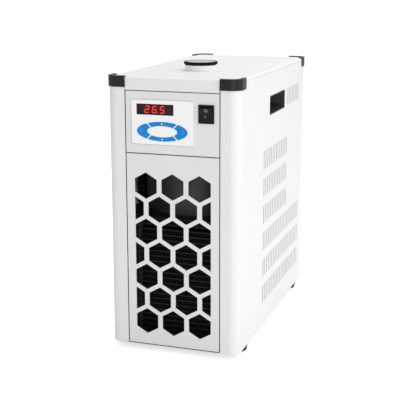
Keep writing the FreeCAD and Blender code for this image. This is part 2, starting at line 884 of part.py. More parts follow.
rocker = new_body("switch_rocker")
rocker.Placement = FreeCAD.Placement(V(0, 0, 0), FreeCAD.Rotation(V(1, 0, 0), mm.rocker_tilt.number))
rocker.setExpression("Placement.Rotation.Angle", mm.rocker_tilt.text)
place(rocker, switch_x, mm.rocker_pivot, switch_z)
rocker_side = side(rocker, -mm.rocker_width / 2)
outline(rocker_side, [(-mm.rocker_tip, -mm.rocker_half_height), (-mm.rocker_valley, 0),
                      (-mm.rocker_tip, mm.rocker_half_height), (0, mm.rocker_half_height),
                      (mm.rocker_back, mm.rocker_half_height / 2), (mm.rocker_back, -mm.rocker_half_height / 2),
                      (0, -mm.rocker_half_height)])
pad(rocker, rocker_side, mm.rocker_width)
fillet(rocker, mm.trunnion_length, lambda edge: edge.BoundBox.XLength > mm.rocker_width.number / 2
       and abs(edge.BoundBox.YMin + mm.rocker_tip.number) < 0.01)
trunnions = side(rocker, -mm.rocker_width / 2 - mm.trunnion_length)
circle(trunnions, 0, 0, mm.trunnion_radius)
pad(rocker, trunnions, mm.rocker_width + 2 * mm.trunnion_length)

# Corner caps: a strip round each upright corner with a hook over the cover's edge

strip = new_body("cap_strip", hidden=True)
place(strip)
strip_gap = mm.cap_proud - mm.cap_wall
cap_low = mm.body_height - mm.cap_drop
cap_top = mm.body_height + mm.cap_rise


def corner_ring(z, inset):
    """A ring round the cabinet, proud of the panels outside and inset from them inside."""
    sketch = plan(strip, z)
    rounded_rectangle(sketch, -half_width - mm.cap_proud, half_width + mm.cap_proud, -mm.cap_proud,
                      mm.body_depth + mm.cap_proud, mm.corner_radius + mm.cap_proud)
    rounded_rectangle(sketch, inset - half_width, half_width - inset, inset, mm.body_depth - inset,
                      mm.corner_radius - inset)
    return sketch


pad(strip, corner_ring(cap_low, -strip_gap), mm.cap_drop + mm.cap_rise)
pad(strip, corner_ring(mm.body_height + strip_gap, mm.cap_hook), mm.cap_rise - strip_gap)
fillet(strip, mm.cap_rise / 3, on_level("Z", cap_top))
corners = {"front_left": (-1, 0), "front_right": (1, 0), "rear_left": (-1, 1), "rear_right": (1, 1)}
for corner, (turn, rear) in corners.items():
    region = doc.addObject("Part::Box", "cap_region")
    bind(region, Length=mm.cap_front_arm + 2 * mm.cap_proud, Width=mm.cap_side_arm + 2 * mm.cap_proud,
         Height=mm.cap_drop + 2 * mm.cap_rise)
    region_x = half_width - mm.cap_front_arm if turn > 0 else -half_width - 2 * mm.cap_proud
    region_y = mm.body_depth - mm.cap_side_arm if rear else -2 * mm.cap_proud
    place(region, region_x, region_y, cap_low)
    joined("Part::Common", "corner_cap_" + corner, strip, region)

# Chassis tray and the rubber feet bolted through it

tray_gap = mm.hem_depth + mm.panel_fit
tray_half = half_width - mm.sheet - mm.panel_fit
foot_x = half_width - mm.foot_inset_x
foot_spots = {corner: (turn * foot_x, mm.body_depth - mm.foot_inset_y if rear else mm.foot_inset_y)
              for corner, (turn, rear) in corners.items()}
tray = new_body("chassis_tray")
tray_floor = plan(tray)
rounded_rectangle(tray_floor, -tray_half, tray_half, tray_gap, mm.body_depth - tray_gap, mm.tray_corner)
pad(tray, tray_floor, mm.tray_wall)
shell(tray, mm.tray_sheet, on_level("Z", mm.tray_wall))
bolt_holes = plan(tray, mm.tray_wall)
for x, y in foot_spots.values():
    circle(bolt_holes, x, y, mm.foot_bolt_radius + mm.panel_fit)
pocket(tray, bolt_holes)

for corner, (x, y) in foot_spots.items():
    foot = new_body("foot_" + corner, x, y)
    half_section = front(foot)
    bolt_end = mm.tray_sheet + 2 * mm.foot_bolt_radius
    foot_shoulder = -mm.side_drop - mm.panel_fit
    outline(half_section, [(0, -mm.foot_height), (mm.foot_sole_radius, -mm.foot_height),
                           (mm.foot_top_radius, foot_shoulder), (mm.foot_neck_radius, foot_shoulder),
                           (mm.foot_neck_radius, 0), (mm.foot_bolt_radius, 0),
                           (mm.foot_bolt_radius, bolt_end), (0, bolt_end)])
    revolve(foot, half_section)
    fillet(foot, mm.foot_height / 6, on_level("Z", -mm.foot_height))


def root(value):
    """The square root of a size."""
    return Size(math.sqrt(value.number), f"sqrt({value.text})")


# Rear panel with its vents and the holes for inlet, spigots and drain

rear = new_body("rear_panel")
rear_face = front(rear, mm.body_depth)
rectangle(rear_face, -panel_half, panel_half, 0, panel_top)
pad(rear, rear_face, mm.hem_depth)
shell(rear, mm.sheet, on_level("Y", mm.body_depth - mm.hem_depth))
fillet(rear, mm.fold_radius, on_level("Y", mm.body_depth))
rear_holes = front(rear, mm.body_depth - 2 * mm.sheet)
neck_radius = mm.stub_radius + mm.sheet
for x, z in ((mm.port_x, mm.barb_z), (-mm.port_x, mm.barb_z), (mm.port_x, mm.drain_z)):
    circle(rear_holes, x, z, neck_radius + mm.shaft_fit)
inlet_half = mm.inlet_width / 2 + mm.shaft_fit
inlet_rise = mm.inlet_height / 2 + mm.shaft_fit
rectangle(rear_holes, mm.inlet_x - inlet_half, mm.inlet_x + inlet_half,
          mm.inlet_z - inlet_rise, mm.inlet_z + inlet_rise)
pocket(rear, rear_holes, 3 * mm.sheet)
rear_slot = front(rear, mm.body_depth - 2 * mm.sheet)
rear_run = mm.slot_pitch * (mm.rear_slots - 1)
rectangle(rear_slot, -(rear_run + mm.slot_width) / 2, -(rear_run - mm.slot_width) / 2,
          mm.barb_z + mm.slot_height, mm.barb_z + 2 * mm.slot_height)
rear_vent = pocket(rear, rear_slot, 3 * mm.sheet)
pattern(rear, rear_vent, ("X_Axis", rear_run, mm.rear_slots))

# Carrying recesses: a tapered cup behind each side opening, held by a flange inside the panel

recess = new_body("handle_recess_right")


def mouth(x, inset):
    """The cup's outline at its mouth."""
    sketch = side(recess, x)
    rectangle(sketch, mm.handle_front + inset, handle_rear - inset, handle_low + inset, handle_high - inset)
    return sketch


def bottom(x, inset):
    """The cup's outline at its inner end."""
    sketch = side(recess, x)
    taper = mm.handle_end_taper + inset
    rectangle(sketch, mm.handle_front + taper, handle_rear - taper,
              handle_low + mm.handle_floor_taper + inset, handle_high - mm.handle_roof_taper - inset)
    return sketch


def loft(kind, profile, section):
    """Add or take away the solid between two outlines."""
    feature = recess.newObject(kind, "recess_loft")
    feature.Profile = profile
    feature.Sections = [section]
    feature.Ruled = True


loft("PartDesign::AdditiveLoft", mouth(half_width - mm.handle_fit, mm.handle_fit),
     bottom(half_width - mm.handle_depth, mm.handle_fit))
pad(recess, mouth(half_width - mm.sheet - mm.handle_wall, -mm.handle_flange), mm.handle_wall)
inner = mm.handle_fit + mm.handle_wall
loft("PartDesign::SubtractiveLoft", mouth(half_width - mm.handle_fit, inner),
     bottom(half_width - mm.handle_depth + mm.handle_wall, inner))
left_hand("handle_recess_left", recess)

# Filler: a moulded neck on the tank lid, a gasket and a screwed-in cap with a metal disc

lid_top = mm.tank_top + mm.tank_lid_thick
collar_top = mm.body_height + mm.neck_collar_height


def turned(label, y, points):
    """A piece turned from half of its section, round an upright axis."""
    body = new_body(label, y=y)
    section = front(body)
    outline(section, points)
    revolve(body, section)
    return body


neck = turned("filler_neck", mm.filler_y, [
    (mm.neck_bore, lid_top), (mm.neck_flange, lid_top), (mm.neck_flange, lid_top + mm.neck_flange_thick),
    (mm.neck_tube, lid_top + mm.neck_flange_thick), (mm.neck_tube, mm.body_height),
    (mm.neck_collar, mm.body_height), (mm.neck_collar, collar_top), (mm.neck_bore, collar_top)])
fillet(neck, mm.fold_radius, on_level("Z", collar_top))
cap_under = collar_top + mm.gasket_thick
gasket_bore = mm.neck_bore + mm.gasket_thick
gasket_rim = mm.neck_collar - mm.gasket_thick
turned("cap_gasket", mm.filler_y, [
    (gasket_bore, collar_top), (gasket_rim, collar_top), (gasket_rim, cap_under), (gasket_bore, cap_under)])
filler_cap_top = cap_under + mm.cap_thick
disc_seat = filler_cap_top - mm.cap_disc_thick - mm.cap_disc_sunk
plug = mm.neck_bore - mm.cap_plug_fit
plug_bore = plug - mm.cap_plug_wall
plug_end = cap_under - mm.cap_plug_length
filler_cap = turned("filler_cap", mm.filler_y, [
    (0, cap_under), (plug_bore, cap_under), (plug_bore, plug_end), (plug, plug_end), (plug, cap_under),
    (mm.cap_radius, cap_under), (mm.cap_radius, filler_cap_top), (mm.cap_disc_radius, filler_cap_top),
    (mm.cap_disc_radius, disc_seat), (0, disc_seat)])
fillet(filler_cap, mm.cap_disc_thick, lambda edge: abs(edge.BoundBox.XMax - mm.cap_radius.number) < 0.01
       and edge.BoundBox.ZLength < 0.01)
disc_rim = mm.cap_disc_radius - mm.shaft_fit
disc_top = disc_seat + mm.cap_disc_thick
turned("cap_disc", mm.filler_y, [(0, disc_seat), (disc_rim, disc_seat), (disc_rim, disc_top), (0, disc_top)])

# Shelf that carries the tank on four folded legs

shelf = new_body("tank_shelf")
shelf_rear = mm.shelf_front + mm.shelf_depth
shelf_top = mm.shelf_z + mm.shelf_sheet
shelf_plate = plan(shelf, mm.shelf_z)
rectangle(shelf_plate, -mm.shelf_half, mm.shelf_half, mm.shelf_front, shelf_rear)
pad(shelf, shelf_plate, mm.shelf_sheet)
legs = plan(shelf, mm.tray_sheet)
leg_lip = mm.shelf_leg / 3
for turn in (-1, 1):
    outer, web, lip_end = (turn * (mm.shelf_half - cut_in) for cut_in in (0, mm.shelf_sheet, leg_lip))
    for near, far, step in ((mm.shelf_front, mm.shelf_front + mm.shelf_leg, mm.shelf_sheet),
                            (shelf_rear, shelf_rear - mm.shelf_leg, -mm.shelf_sheet)):
        outline(legs, [(outer, near), (lip_end, near), (lip_end, near + step), (web, near + step),
                       (web, far), (outer, far)])
pad(shelf, legs, mm.shelf_z - mm.tray_sheet)

# Tank with two hose stubs at the back, its lid, and the foam jacket left open round the stubs

tank_bore = mm.tank_radius - mm.tank_wall
rim_under = mm.tank_top - mm.tank_wall
tank_floor = shelf_top + mm.tank_wall
tank = turned("bath_tank", mm.filler_y, [
    (0, shelf_top), (mm.tank_radius, shelf_top), (mm.tank_radius, rim_under), (mm.tank_rim_radius, rim_under),
    (mm.tank_rim_radius, mm.tank_top), (tank_bore, mm.tank_top), (tank_bore, tank_floor), (0, tank_floor)])
stub_end = mm.tank_radius + mm.port_reach
stub_root = root(mm.tank_radius * mm.tank_radius - mm.port_x * mm.port_x) - mm.tank_wall / 2
stubs = front(tank, stub_end)
stub_bores = front(tank)
for turn in (-1, 1):
    circle(stubs, turn * mm.port_x, mm.port_z, mm.stub_radius)
    circle(stub_bores, turn * mm.port_x, mm.port_z, mm.barb_bore)
pad(tank, stubs, stub_end - stub_root)
pocket(tank, stub_bores)

lid = new_body("tank_lid", y=mm.filler_y)
lid_face = plan(lid, mm.tank_top)
circle(lid_face, 0, 0, mm.tank_rim_radius)
circle(lid_face, 0, 0, mm.neck_bore)
circle(lid_face, 0, -mm.probe_front, mm.probe_radius + mm.shaft_fit)
for turn in (-1, 1):
    circle(lid_face, turn * mm.heater_spread, mm.heater_back, mm.heater_tube + mm.shaft_fit)
pad(lid, lid_face, mm.tank_lid_thick)

jacket_bore = mm.jacket_radius - mm.jacket_wall
jacket_top = mm.tank_top - mm.jacket_wall
jacket = turned("tank_jacket", mm.filler_y, [
    (jacket_bore, shelf_top), (mm.jacket_radius, shelf_top), (mm.jacket_radius, jacket_top),
    (jacket_bore, jacket_top)])
wrap_gap = plan(jacket, mm.tank_top)
rectangle(wrap_gap, -mm.jacket_half_gap, mm.jacket_half_gap, 0, mm.jacket_radius + beyond)
pocket(jacket, wrap_gap)


def bent_path(points, bend):
    """Straight runs joined by tangent arcs."""
    corners = [V(*(as_size(value).number for value in point)) for point in points]
    edges = []
    start = corners[0]
    for before, corner, after in zip(corners, corners[1:], corners[2:]):
        incoming = (corner - before).normalize()
        outgoing = (after - corner).normalize()
        turn = incoming.getAngle(outgoing)
        setback = bend.number * math.tan(turn / 2)
        enter = corner - incoming * setback
        leave = corner + outgoing * setback
        inward = (outgoing - incoming).normalize()
        centre = corner + inward * (bend.number / math.cos(turn / 2))
        edges.append(Part.LineSegment(start, enter).toShape())
        edges.append(Part.Arc(enter, centre - inward * bend.number, leave).toShape())
        start = leave
    edges.append(Part.LineSegment(start, corners[-1]).toShape())
    return Part.Wire(edges)


def swept(path, radius):
    """A round rod along a path."""
    start = path.Vertexes[0].Point
    ahead = path.Edges[0].tangentAt(path.Edges[0].FirstParameter)
    ring = Part.Wire([Part.Circle(start, ahead, radius).toShape()])
    return path.makePipeShell([ring], True, False)


def tube(label, points, bend, radius, bore=None):
    """A solid or hollow piece of pipe along a bent path."""
    path = bent_path(points, bend)
    shape = swept(path, radius.number)
    if bore is not None:
        shape = shape.cut(swept(path, bore.number))
    solid_piece(label, shape)


# Evaporator coil wound round the tank under the jacket

coil_radius = mm.tank_radius + mm.coil_fit + mm.coil_tube
coil_start = shelf_top + mm.coil_low
helix = Part.makeHelix(mm.coil_pitch.number, (mm.coil_pitch * mm.coil_turns).number, coil_radius.number)
helix.rotate(V(0, 0, 0), V(0, 0, 1), 90)
helix.translate(V(0, mm.filler_y.number, coil_start.number))
solid_piece("evaporator_coil", swept(Part.Wire(helix.Edges), mm.coil_tube.number))
coil_end = coil_start + mm.coil_pitch * mm.coil_turns
coil_y = mm.filler_y + coil_radius

# Immersion heater and temperature probe hung from the tank lid

heater_y = mm.filler_y + mm.heater_back
heater_low = shelf_top + mm.heater_clear
heater_high = lid_top + 3 * mm.heater_tube
tube("heater", [(-mm.heater_spread, heater_y, heater_high), (-mm.heater_spread, heater_y, heater_low),
                (mm.heater_spread, heater_y, heater_low), (mm.heater_spread, heater_y, heater_high)],
     mm.heater_bend, mm.heater_tube)
probe_low = shelf_top + mm.probe_clear
probe_head = 2 * mm.probe_radius
turned("temperature_probe", mm.filler_y - mm.probe_front, [
    (0, probe_low), (mm.probe_radius, probe_low), (mm.probe_radius, lid_top), (probe_head, lid_top),
    (probe_head, lid_top + probe_head), (0, lid_top + probe_head)])

# Condenser: flat tubes between two upright headers, a channel above and below, fin strips between

condenser = new_body("condenser")
header_x = mm.condenser_half - mm.header_radius
condenser_low = mm.tray_sheet + 3 * mm.channel_thick
tube_low = condenser_low + mm.tube_pitch
condenser_high = tube_low + mm.tube_pitch * mm.tube_rows
condenser_middle = mm.condenser_y + mm.condenser_deep / 2
headers = plan(condenser, condenser_low)
for turn in (-1, 1):
    circle(headers, turn * header_x, condenser_middle, mm.header_radius)
pad(condenser, headers, condenser_high - condenser_low)
flat = front(condenser, mm.condenser_y + mm.channel_thick)
rectangle(flat, -header_x, header_x, tube_low - mm.flat_tube, tube_low)
flat_pad = pad(condenser, flat, mm.condenser_deep - 2 * mm.channel_thick, back=True)
pattern(condenser, flat_pad, ("Z_Axis", mm.tube_pitch * (mm.tube_rows - 1), mm.tube_rows))
channels = front(condenser, mm.condenser_y)
for channel_low in (condenser_low, condenser_high - mm.channel_thick):
    rectangle(channels, -mm.condenser_half, mm.condenser_half, channel_low, channel_low + mm.channel_thick)
pad(condenser, channels, mm.condenser_deep, back=True)
condenser_feet = front(condenser, mm.condenser_y)
for turn in (-1, 1):
    rectangle(condenser_feet, turn * header_x - mm.header_radius, turn * header_x + mm.header_radius,
              mm.tray_sheet, condenser_low + mm.fin_fit)
pad(condenser, condenser_feet, mm.condenser_deep, back=True)

fin_strips = []
fin_half = (header_x - mm.header_radius - mm.fin_fit).number
fin_deep = (mm.condenser_deep - 2 * mm.channel_thick - 2 * mm.fin_sunk).number
fin_high = (mm.tube_pitch - mm.flat_tube - 2 * mm.fin_fit).number
for row in range(1, int(mm.tube_rows.number)):
    fin_low = (tube_low + mm.tube_pitch * (row - 1) + mm.fin_fit).number
    corner = V(-fin_half, (mm.condenser_y + mm.channel_thick + mm.fin_sunk).number, fin_low)
    fin_strips.append(Part.makeBox(2 * fin_half, fin_deep, fin_high, corner))
solid_piece("condenser_fins", Part.makeCompound(fin_strips))

# Fan: a shroud on the condenser, a motor on a cross of struts and a bladed rotor on its shaft

fan_z = (condenser_low + condenser_high) / 2
shroud_y = mm.condenser_y + mm.condenser_deep + mm.shaft_fit
ring_end = shroud_y + mm.shroud_sheet + mm.fan_ring_deep
shroud = new_body("fan_shroud")
shroud_plate = front(shroud, shroud_y)
rectangle(shroud_plate, -mm.condenser_half, mm.condenser_half, mm.tray_sheet, condenser_high)
circle(shroud_plate, 0, fan_z, mm.fan_ring_radius)
pad(shroud, shroud_plate, mm.shroud_sheet, back=True)
shroud_ring = front(shroud, shroud_y)
circle(shroud_ring, 0, fan_z, mm.fan_ring_radius + mm.shroud_sheet)
circle(shroud_ring, 0, fan_z, mm.fan_ring_radius)
pad(shroud, shroud_ring, ring_end - shroud_y, back=True)

motor = new_body("fan_motor")
ring_outside = mm.fan_ring_radius + mm.shroud_sheet
across_strut = front(motor, ring_end)
rectangle(across_strut, -ring_outside, ring_outside, fan_z - mm.strut_width / 2, fan_z + mm.strut_width / 2)
pad(motor, across_strut, mm.strut_thick, back=True)
up_strut = front(motor, ring_end)
rectangle(up_strut, -mm.strut_width / 2, mm.strut_width / 2, fan_z - ring_outside, fan_z + ring_outside)
pad(motor, up_strut, mm.strut_thick, back=True)
motor_can = front(motor, ring_end)
circle(motor_can, 0, fan_z, mm.fan_motor_radius)
pad(motor, motor_can, mm.fan_motor_length, back=True)
fillet(motor, mm.strut_thick, on_level("Y", ring_end + mm.fan_motor_length))
shaft_bore = front(motor, ring_end)
circle(shaft_bore, 0, fan_z, mm.shaft_radius + mm.shaft_fit)
pocket(motor, shaft_bore, mm.shaft_length)

rotor = new_body("fan_rotor", z=fan_z)
hub_end = ring_end - mm.seam
hub_start = hub_end - mm.hub_length
hub = front(rotor, hub_start)
circle(hub, 0, 0, mm.hub_radius)
pad(rotor, hub, mm.hub_length, back=True)
fillet(rotor, mm.tray_corner, on_level("Y", hub_start))
fan_shaft = front(rotor, hub_start)
circle(fan_shaft, 0, 0, mm.shaft_radius)
pad(rotor, fan_shaft, mm.hub_length + mm.shaft_length, back=True)
blade_y = (hub_start + hub_end) / 2


def blade_section(x, rise, chord):
    """The slanting section of a blade at a distance from the axis."""
    sketch = side(rotor, x)
    half_thick = mm.blade_thick / 2
    outline(sketch, [(blade_y - rise - half_thick, -chord), (blade_y - rise + half_thick, -chord),
                     (blade_y + rise + half_thick, chord), (blade_y + rise - half_thick, chord)])
    return sketch


root_x = root(mm.hub_radius * mm.hub_radius - mm.blade_root_chord * mm.blade_root_chord) - mm.blade_thick
blade = rotor.newObject("PartDesign::AdditiveLoft", "blade")
blade.Profile = blade_section(root_x, mm.blade_root_rise, mm.blade_root_chord)
blade.Sections = [blade_section(mm.fan_ring_radius - mm.fan_tip_gap, mm.blade_tip_rise, mm.blade_tip_chord)]
blades = rotor.newObject("PartDesign::PolarPattern", "blades")
blades.Originals = [blade]
blades.Axis = (next(item for item in rotor.Origin.OriginFeatures if item.Role == "Y_Axis"), [""])
blades.Angle = 360.0
bind(blades, Occurrences=mm.fan_blades)
rotor.Tip = blades

# Compressor: a welded can on a plate, four rubber mounts and the terminal cover

middle_seam = (mm.compressor_low + mm.compressor_high) / 2
seam_high = middle_seam + mm.compressor_seam
bulge = mm.compressor_radius + mm.compressor_seam
plate_low = mm.compressor_low - mm.compressor_plate
compressor = turned("compressor", mm.compressor_y, [
    (0, plate_low), (mm.compressor_radius, plate_low), (mm.compressor_radius, middle_seam), (bulge, middle_seam),
    (bulge, seam_high), (mm.compressor_radius, seam_high), (mm.compressor_radius, mm.compressor_high),
    (0, mm.compressor_high)])
fillet(compressor, mm.compressor_dome, on_level("Z", mm.compressor_high))
ears = plan(compressor, plate_low)
rounded_rectangle(ears, -mm.compressor_ear, mm.compressor_ear, -mm.compressor_ear, mm.compressor_ear,
                  mm.mount_radius)
pad(compressor, ears, mm.compressor_plate)
ear_holes = plan(compressor, mm.compressor_low)
mount_spot = mm.compressor_ear - mm.mount_radius
mount_spots = [(x * mount_spot, y * mount_spot) for x in (-1, 1) for y in (-1, 1)]
for x, y in mount_spots:
    circle(ear_holes, x, y, mm.shaft_radius + mm.panel_fit)
pocket(compressor, ear_holes, 2 * mm.compressor_plate)

mounts = []
stud_high = mm.compressor_low + mm.shaft_radius
for x, y in mount_spots:
    spot = V(x.number, (mm.compressor_y + y).number, mm.tray_sheet.number)
    nut_spot = V(spot.x, spot.y, mm.compressor_low.number)
    rubber = Part.makeCylinder(mm.mount_radius.number, plate_low.number - spot.z, spot)
    stud = Part.makeCylinder(mm.shaft_radius.number, stud_high.number - spot.z, spot)
    nut = Part.makeCylinder(mm.stud_head.number, mm.shaft_radius.number, nut_spot)
    mounts.append(rubber.fuse([stud, nut]))
solid_piece("compressor_mounts", Part.makeCompound(mounts))

cover_low = V(0, (mm.compressor_y - mm.terminal_length / 2).number, mm.terminal_low.number)
cover_box = Part.makeBox((mm.compressor_radius + mm.terminal_width).number, mm.terminal_length.number,
                         mm.terminal_height.number, cover_low)
can = Part.makeCylinder((bulge + mm.shaft_fit).number, mm.compressor_high.number,
                        V(0, mm.compressor_y.number, 0))
solid_piece("terminal_cover", cover_box.cut(can))

# Circulation pump: a motor on a bracket and a pump head with two ports and a drain boss

pump_motor = new_body("pump_motor")
motor_end = side(pump_motor, mm.pump_x - mm.pump_motor_length)
circle(motor_end, mm.pump_y, mm.pump_z, mm.pump_motor_radius)
pad(pump_motor, motor_end, mm.pump_motor_length)
fillet(pump_motor, mm.strut_thick, on_level("X", mm.pump_x - mm.pump_motor_length))
bracket = plan(pump_motor, mm.tray_sheet)
bracket_x = mm.pump_x - mm.bracket_start
rectangle(bracket, bracket_x - mm.bracket_length, bracket_x,
          mm.pump_y - mm.bracket_half, mm.pump_y + mm.bracket_half)
pad(pump_motor, bracket, mm.bracket_height)

pump = new_body("pump_head")
head_end = mm.pump_x + mm.pump_head_length
head_face = side(pump, mm.pump_x + mm.shaft_fit)
circle(head_face, mm.pump_y, mm.pump_z, mm.pump_head_radius)
pad(pump, head_face, mm.pump_head_length - mm.shaft_fit)
suction_port = side(pump, head_end)
circle(suction_port, mm.pump_y, mm.pump_z, mm.stub_radius)
pad(pump, suction_port, mm.pump_port)
delivery_port = plan(pump, mm.pump_z)
circle(delivery_port, mm.port_x, mm.pump_y, mm.stub_radius)
pad(pump, delivery_port, mm.pump_head_radius + mm.pump_port)
drain_boss_y = mm.pump_y + mm.pump_head_radius + mm.sheet
drain_boss = front(pump, drain_boss_y)
circle(drain_boss, mm.port_x, mm.drain_z, mm.stub_radius + 2 * mm.sheet)
pad(pump, drain_boss, mm.drain_boss_depth)

# Hoses, each pushed over a stub at both ends

hose_outside = mm.hose_bore + mm.hose_wall
hose_end = mm.body_depth - mm.sheet - mm.stub_radius
tank_end = mm.filler_y + stub_end - mm.stub_grip
hose_side = mm.line_side - mm.stub_radius
crossing_y = tank_end + 2 * mm.port_reach
inflow_x = head_end + mm.pump_port - mm.stub_grip
tube("suction_hose", [(mm.port_x, tank_end, mm.port_z), (mm.port_x, crossing_y, mm.port_z),
                      (hose_side, crossing_y, mm.port_z), (hose_side, crossing_y, mm.pump_z),
                      (hose_side, mm.pump_y, mm.pump_z), (inflow_x, mm.pump_y, mm.pump_z)],
     mm.line_bend, hose_outside, mm.hose_bore)
return_y = crossing_y + mm.port_reach
tube("return_hose", [(-mm.port_x, tank_end, mm.port_z), (-mm.port_x, return_y, mm.port_z),
                     (-mm.port_x, return_y, mm.barb_z), (-mm.port_x, hose_end, mm.barb_z)],
     2 * mm.line_bend, hose_outside, mm.hose_bore)
port_high = mm.pump_z + mm.pump_head_radius + mm.pump_port
tube("delivery_hose", [(mm.port_x, mm.pump_y, port_high - mm.stub_grip), (mm.port_x, mm.pump_y, mm.barb_z),
                       (mm.port_x, hose_end, mm.barb_z)], 2 * mm.line_bend, hose_outside, mm.hose_bore)

# Refrigerant lines, brazed into the compressor, the condenser and the coil

discharge_z = mm.compressor_high - 3 * mm.line_bend
header_face = header_x + mm.header_radius - mm.braze
can_face = mm.compressor_radius - mm.braze
tube("discharge_line", [(-can_face, mm.compressor_y, discharge_z), (-mm.line_side, mm.compressor_y, discharge_z),
                        (-mm.line_side, condenser_middle, discharge_z),
                        (-header_face, condenser_middle, discharge_z)], mm.line_bend / 2, mm.line_radius)
liquid_z = mm.tray_sheet + 3 * mm.line_bend
liquid_y = mm.compressor_y + mm.compressor_radius + mm.line_radius
liquid = [(header_face, condenser_middle, liquid_z), (mm.line_side, condenser_middle, liquid_z),
          (mm.line_side, liquid_y, liquid_z), (mm.line_side, liquid_y, coil_start), (0, liquid_y, coil_start),
          (0, coil_y + mm.braze / 2, coil_start)]
liquid_rod = swept(bent_path(liquid, mm.line_bend / 2), mm.line_radius.number)
drier_low = V(mm.line_side.number, liquid_y.number, (liquid_z + mm.drier_length).number)
drier = Part.makeCylinder(mm.drier_radius.number, mm.drier_length.number, drier_low)
drier = drier.makeFillet(mm.line_radius.number, [edge for edge in drier.Edges if len(edge.Vertexes) == 1])
solid_piece("liquid_line", liquid_rod.fuse(drier))
vapour_y = liquid_y + mm.line_bend
vapour_z = discharge_z - mm.line_bend / 2
tube("vapour_line", [(0, coil_y + mm.braze / 2, coil_end), (0, vapour_y, coil_end), (0, vapour_y, vapour_z),
                     (0, mm.compressor_y + can_face, vapour_z)],
     mm.line_bend / 2, mm.line_radius)

# Outlet and return spigots, each clamped in the rear panel between a collar and a nut

nut_inside = -mm.sheet - mm.nut_thick
ridge_step = (mm.barb_reach - mm.barb_land) / mm.barb_ridges


def spigot(label, x):
    """A barbed pipe through the rear panel."""
    body = new_body(label, x, mm.body_depth, mm.barb_z)
    section = plan(body)
    inside = -mm.sheet - mm.barb_tail
    points = [(mm.barb_bore, inside), (mm.stub_radius, inside), (mm.stub_radius, nut_inside),
              (mm.barb_nut, nut_inside), (mm.barb_nut, -mm.sheet), (neck_radius, -mm.sheet), (neck_radius, 0),
              (mm.barb_nut, 0), (mm.barb_nut, mm.nut_thick), (mm.barb_radius, mm.nut_thick),
              (mm.barb_radius, mm.barb_land)]
    groove_radius = mm.barb_radius - mm.barb_groove
    for index in range(int(mm.barb_ridges.number)):
        groove = mm.barb_land + index * ridge_step
        crest = groove + mm.barb_groove
        points += [(groove_radius, groove), (groove_radius, crest), (mm.barb_radius, crest)]
    points += [(groove_radius, mm.barb_reach), (mm.barb_bore, mm.barb_reach)]
    outline(section, points)
    revolve(body, section)


spigot("outlet_spigot", mm.port_x)
spigot("return_spigot", -mm.port_x)

# Drain cock: a valve body on a tail screwed to the pump head, and its quarter-turn lever

cock = new_body("drain_cock", mm.port_x, mm.body_depth, mm.drain_z)
cock_section = plan(cock)
tail = drain_boss_y + mm.shaft_fit - mm.body_depth
outline(cock_section, [(0, tail), (mm.stub_radius, tail), (mm.stub_radius, nut_inside), (mm.barb_nut, nut_inside),
                       (mm.barb_nut, -mm.sheet), (neck_radius, -mm.sheet), (neck_radius, 0), (mm.barb_nut, 0),
                       (mm.barb_nut, mm.valve_length), (mm.barb_radius, mm.valve_length),
                       (mm.barb_radius, mm.barb_reach), (0, mm.barb_reach)])
revolve(cock, cock_section)
lever_y = mm.valve_length / 2
stem_socket = plan(cock, mm.barb_nut)
circle(stem_socket, 0, lever_y, mm.shaft_radius + mm.shaft_fit)
pocket(cock, stem_socket, mm.stem_depth)
outflow = front(cock, mm.valve_length)
circle(outflow, 0, 0, mm.barb_bore)
pocket(cock, outflow, mm.barb_reach)

lever = new_body("drain_lever", mm.port_x, mm.body_depth + lever_y, mm.drain_z)
lever_plate = plan(lever, mm.barb_nut + mm.lever_thick)
rounded_rectangle(lever_plate, -mm.lever_width / 2, mm.lever_length, -mm.lever_width / 2, mm.lever_width / 2,
                  mm.lever_corner)
pad(lever, lever_plate, mm.lever_thick)
stem_low = mm.barb_nut - mm.stem_depth + mm.panel_fit
lever_stem = plan(lever, stem_low)
circle(lever_stem, 0, 0, mm.shaft_radius)
pad(lever, lever_stem, mm.barb_nut + 2 * mm.lever_thick + mm.seam - stem_low)

# Mains inlet: a flanged socket with three pins, and the box of power electronics above it

inlet = new_body("mains_inlet", mm.inlet_x, mm.body_depth, mm.inlet_z)
inlet_flange = front(inlet, mm.inlet_flange_thick)
rounded_rectangle(inlet_flange, -mm.inlet_flange_width / 2, mm.inlet_flange_width / 2,
                  -mm.inlet_flange_height / 2, mm.inlet_flange_height / 2, mm.inlet_flange_thick)
pad(inlet, inlet_flange, mm.inlet_flange_thick)
inlet_body = front(inlet)
rectangle(inlet_body, -mm.inlet_width / 2, mm.inlet_width / 2, -mm.inlet_height / 2, mm.inlet_height / 2)
pad(inlet, inlet_body, mm.inlet_depth)
well_x = mm.inlet_width / 2 - mm.socket_wall
well_z = mm.inlet_height / 2 - mm.socket_wall
shoulder_x = well_x - mm.socket_bevel
shoulder_z = well_z - mm.socket_bevel
socket_well = front(inlet, -mm.socket_depth)
outline(socket_well, [(-well_x, -well_z), (well_x, -well_z), (well_x, shoulder_z), (shoulder_x, well_z),
                      (-shoulder_x, well_z), (-well_x, shoulder_z)])
pocket(inlet, socket_well, mm.socket_depth + 2 * mm.inlet_flange_thick)
pins = front(inlet, mm.pin_length - mm.socket_depth)
pin_half = mm.sheet
for pin_x, pin_z in ((-mm.pin_spread, -pin_half), (0, pin_half), (mm.pin_spread, -pin_half)):
    rectangle(pins, pin_x - pin_half, pin_x + pin_half, pin_z - 2 * pin_half, pin_z + 2 * pin_half)
pad(inlet, pins, mm.pin_length + mm.sheet)

power = new_body("power_box")
power_face = front(power, mm.body_depth - mm.sheet)
rounded_rectangle(power_face, -mm.box_half, mm.box_half, mm.box_low, mm.box_high, 2 * mm.sheet)
pad(power, power_face, mm.box_depth)
shell(power, mm.tray_sheet, on_level("Y", mm.body_depth - mm.sheet))

# Centre the footprint on the origin, check every object and write the pieces

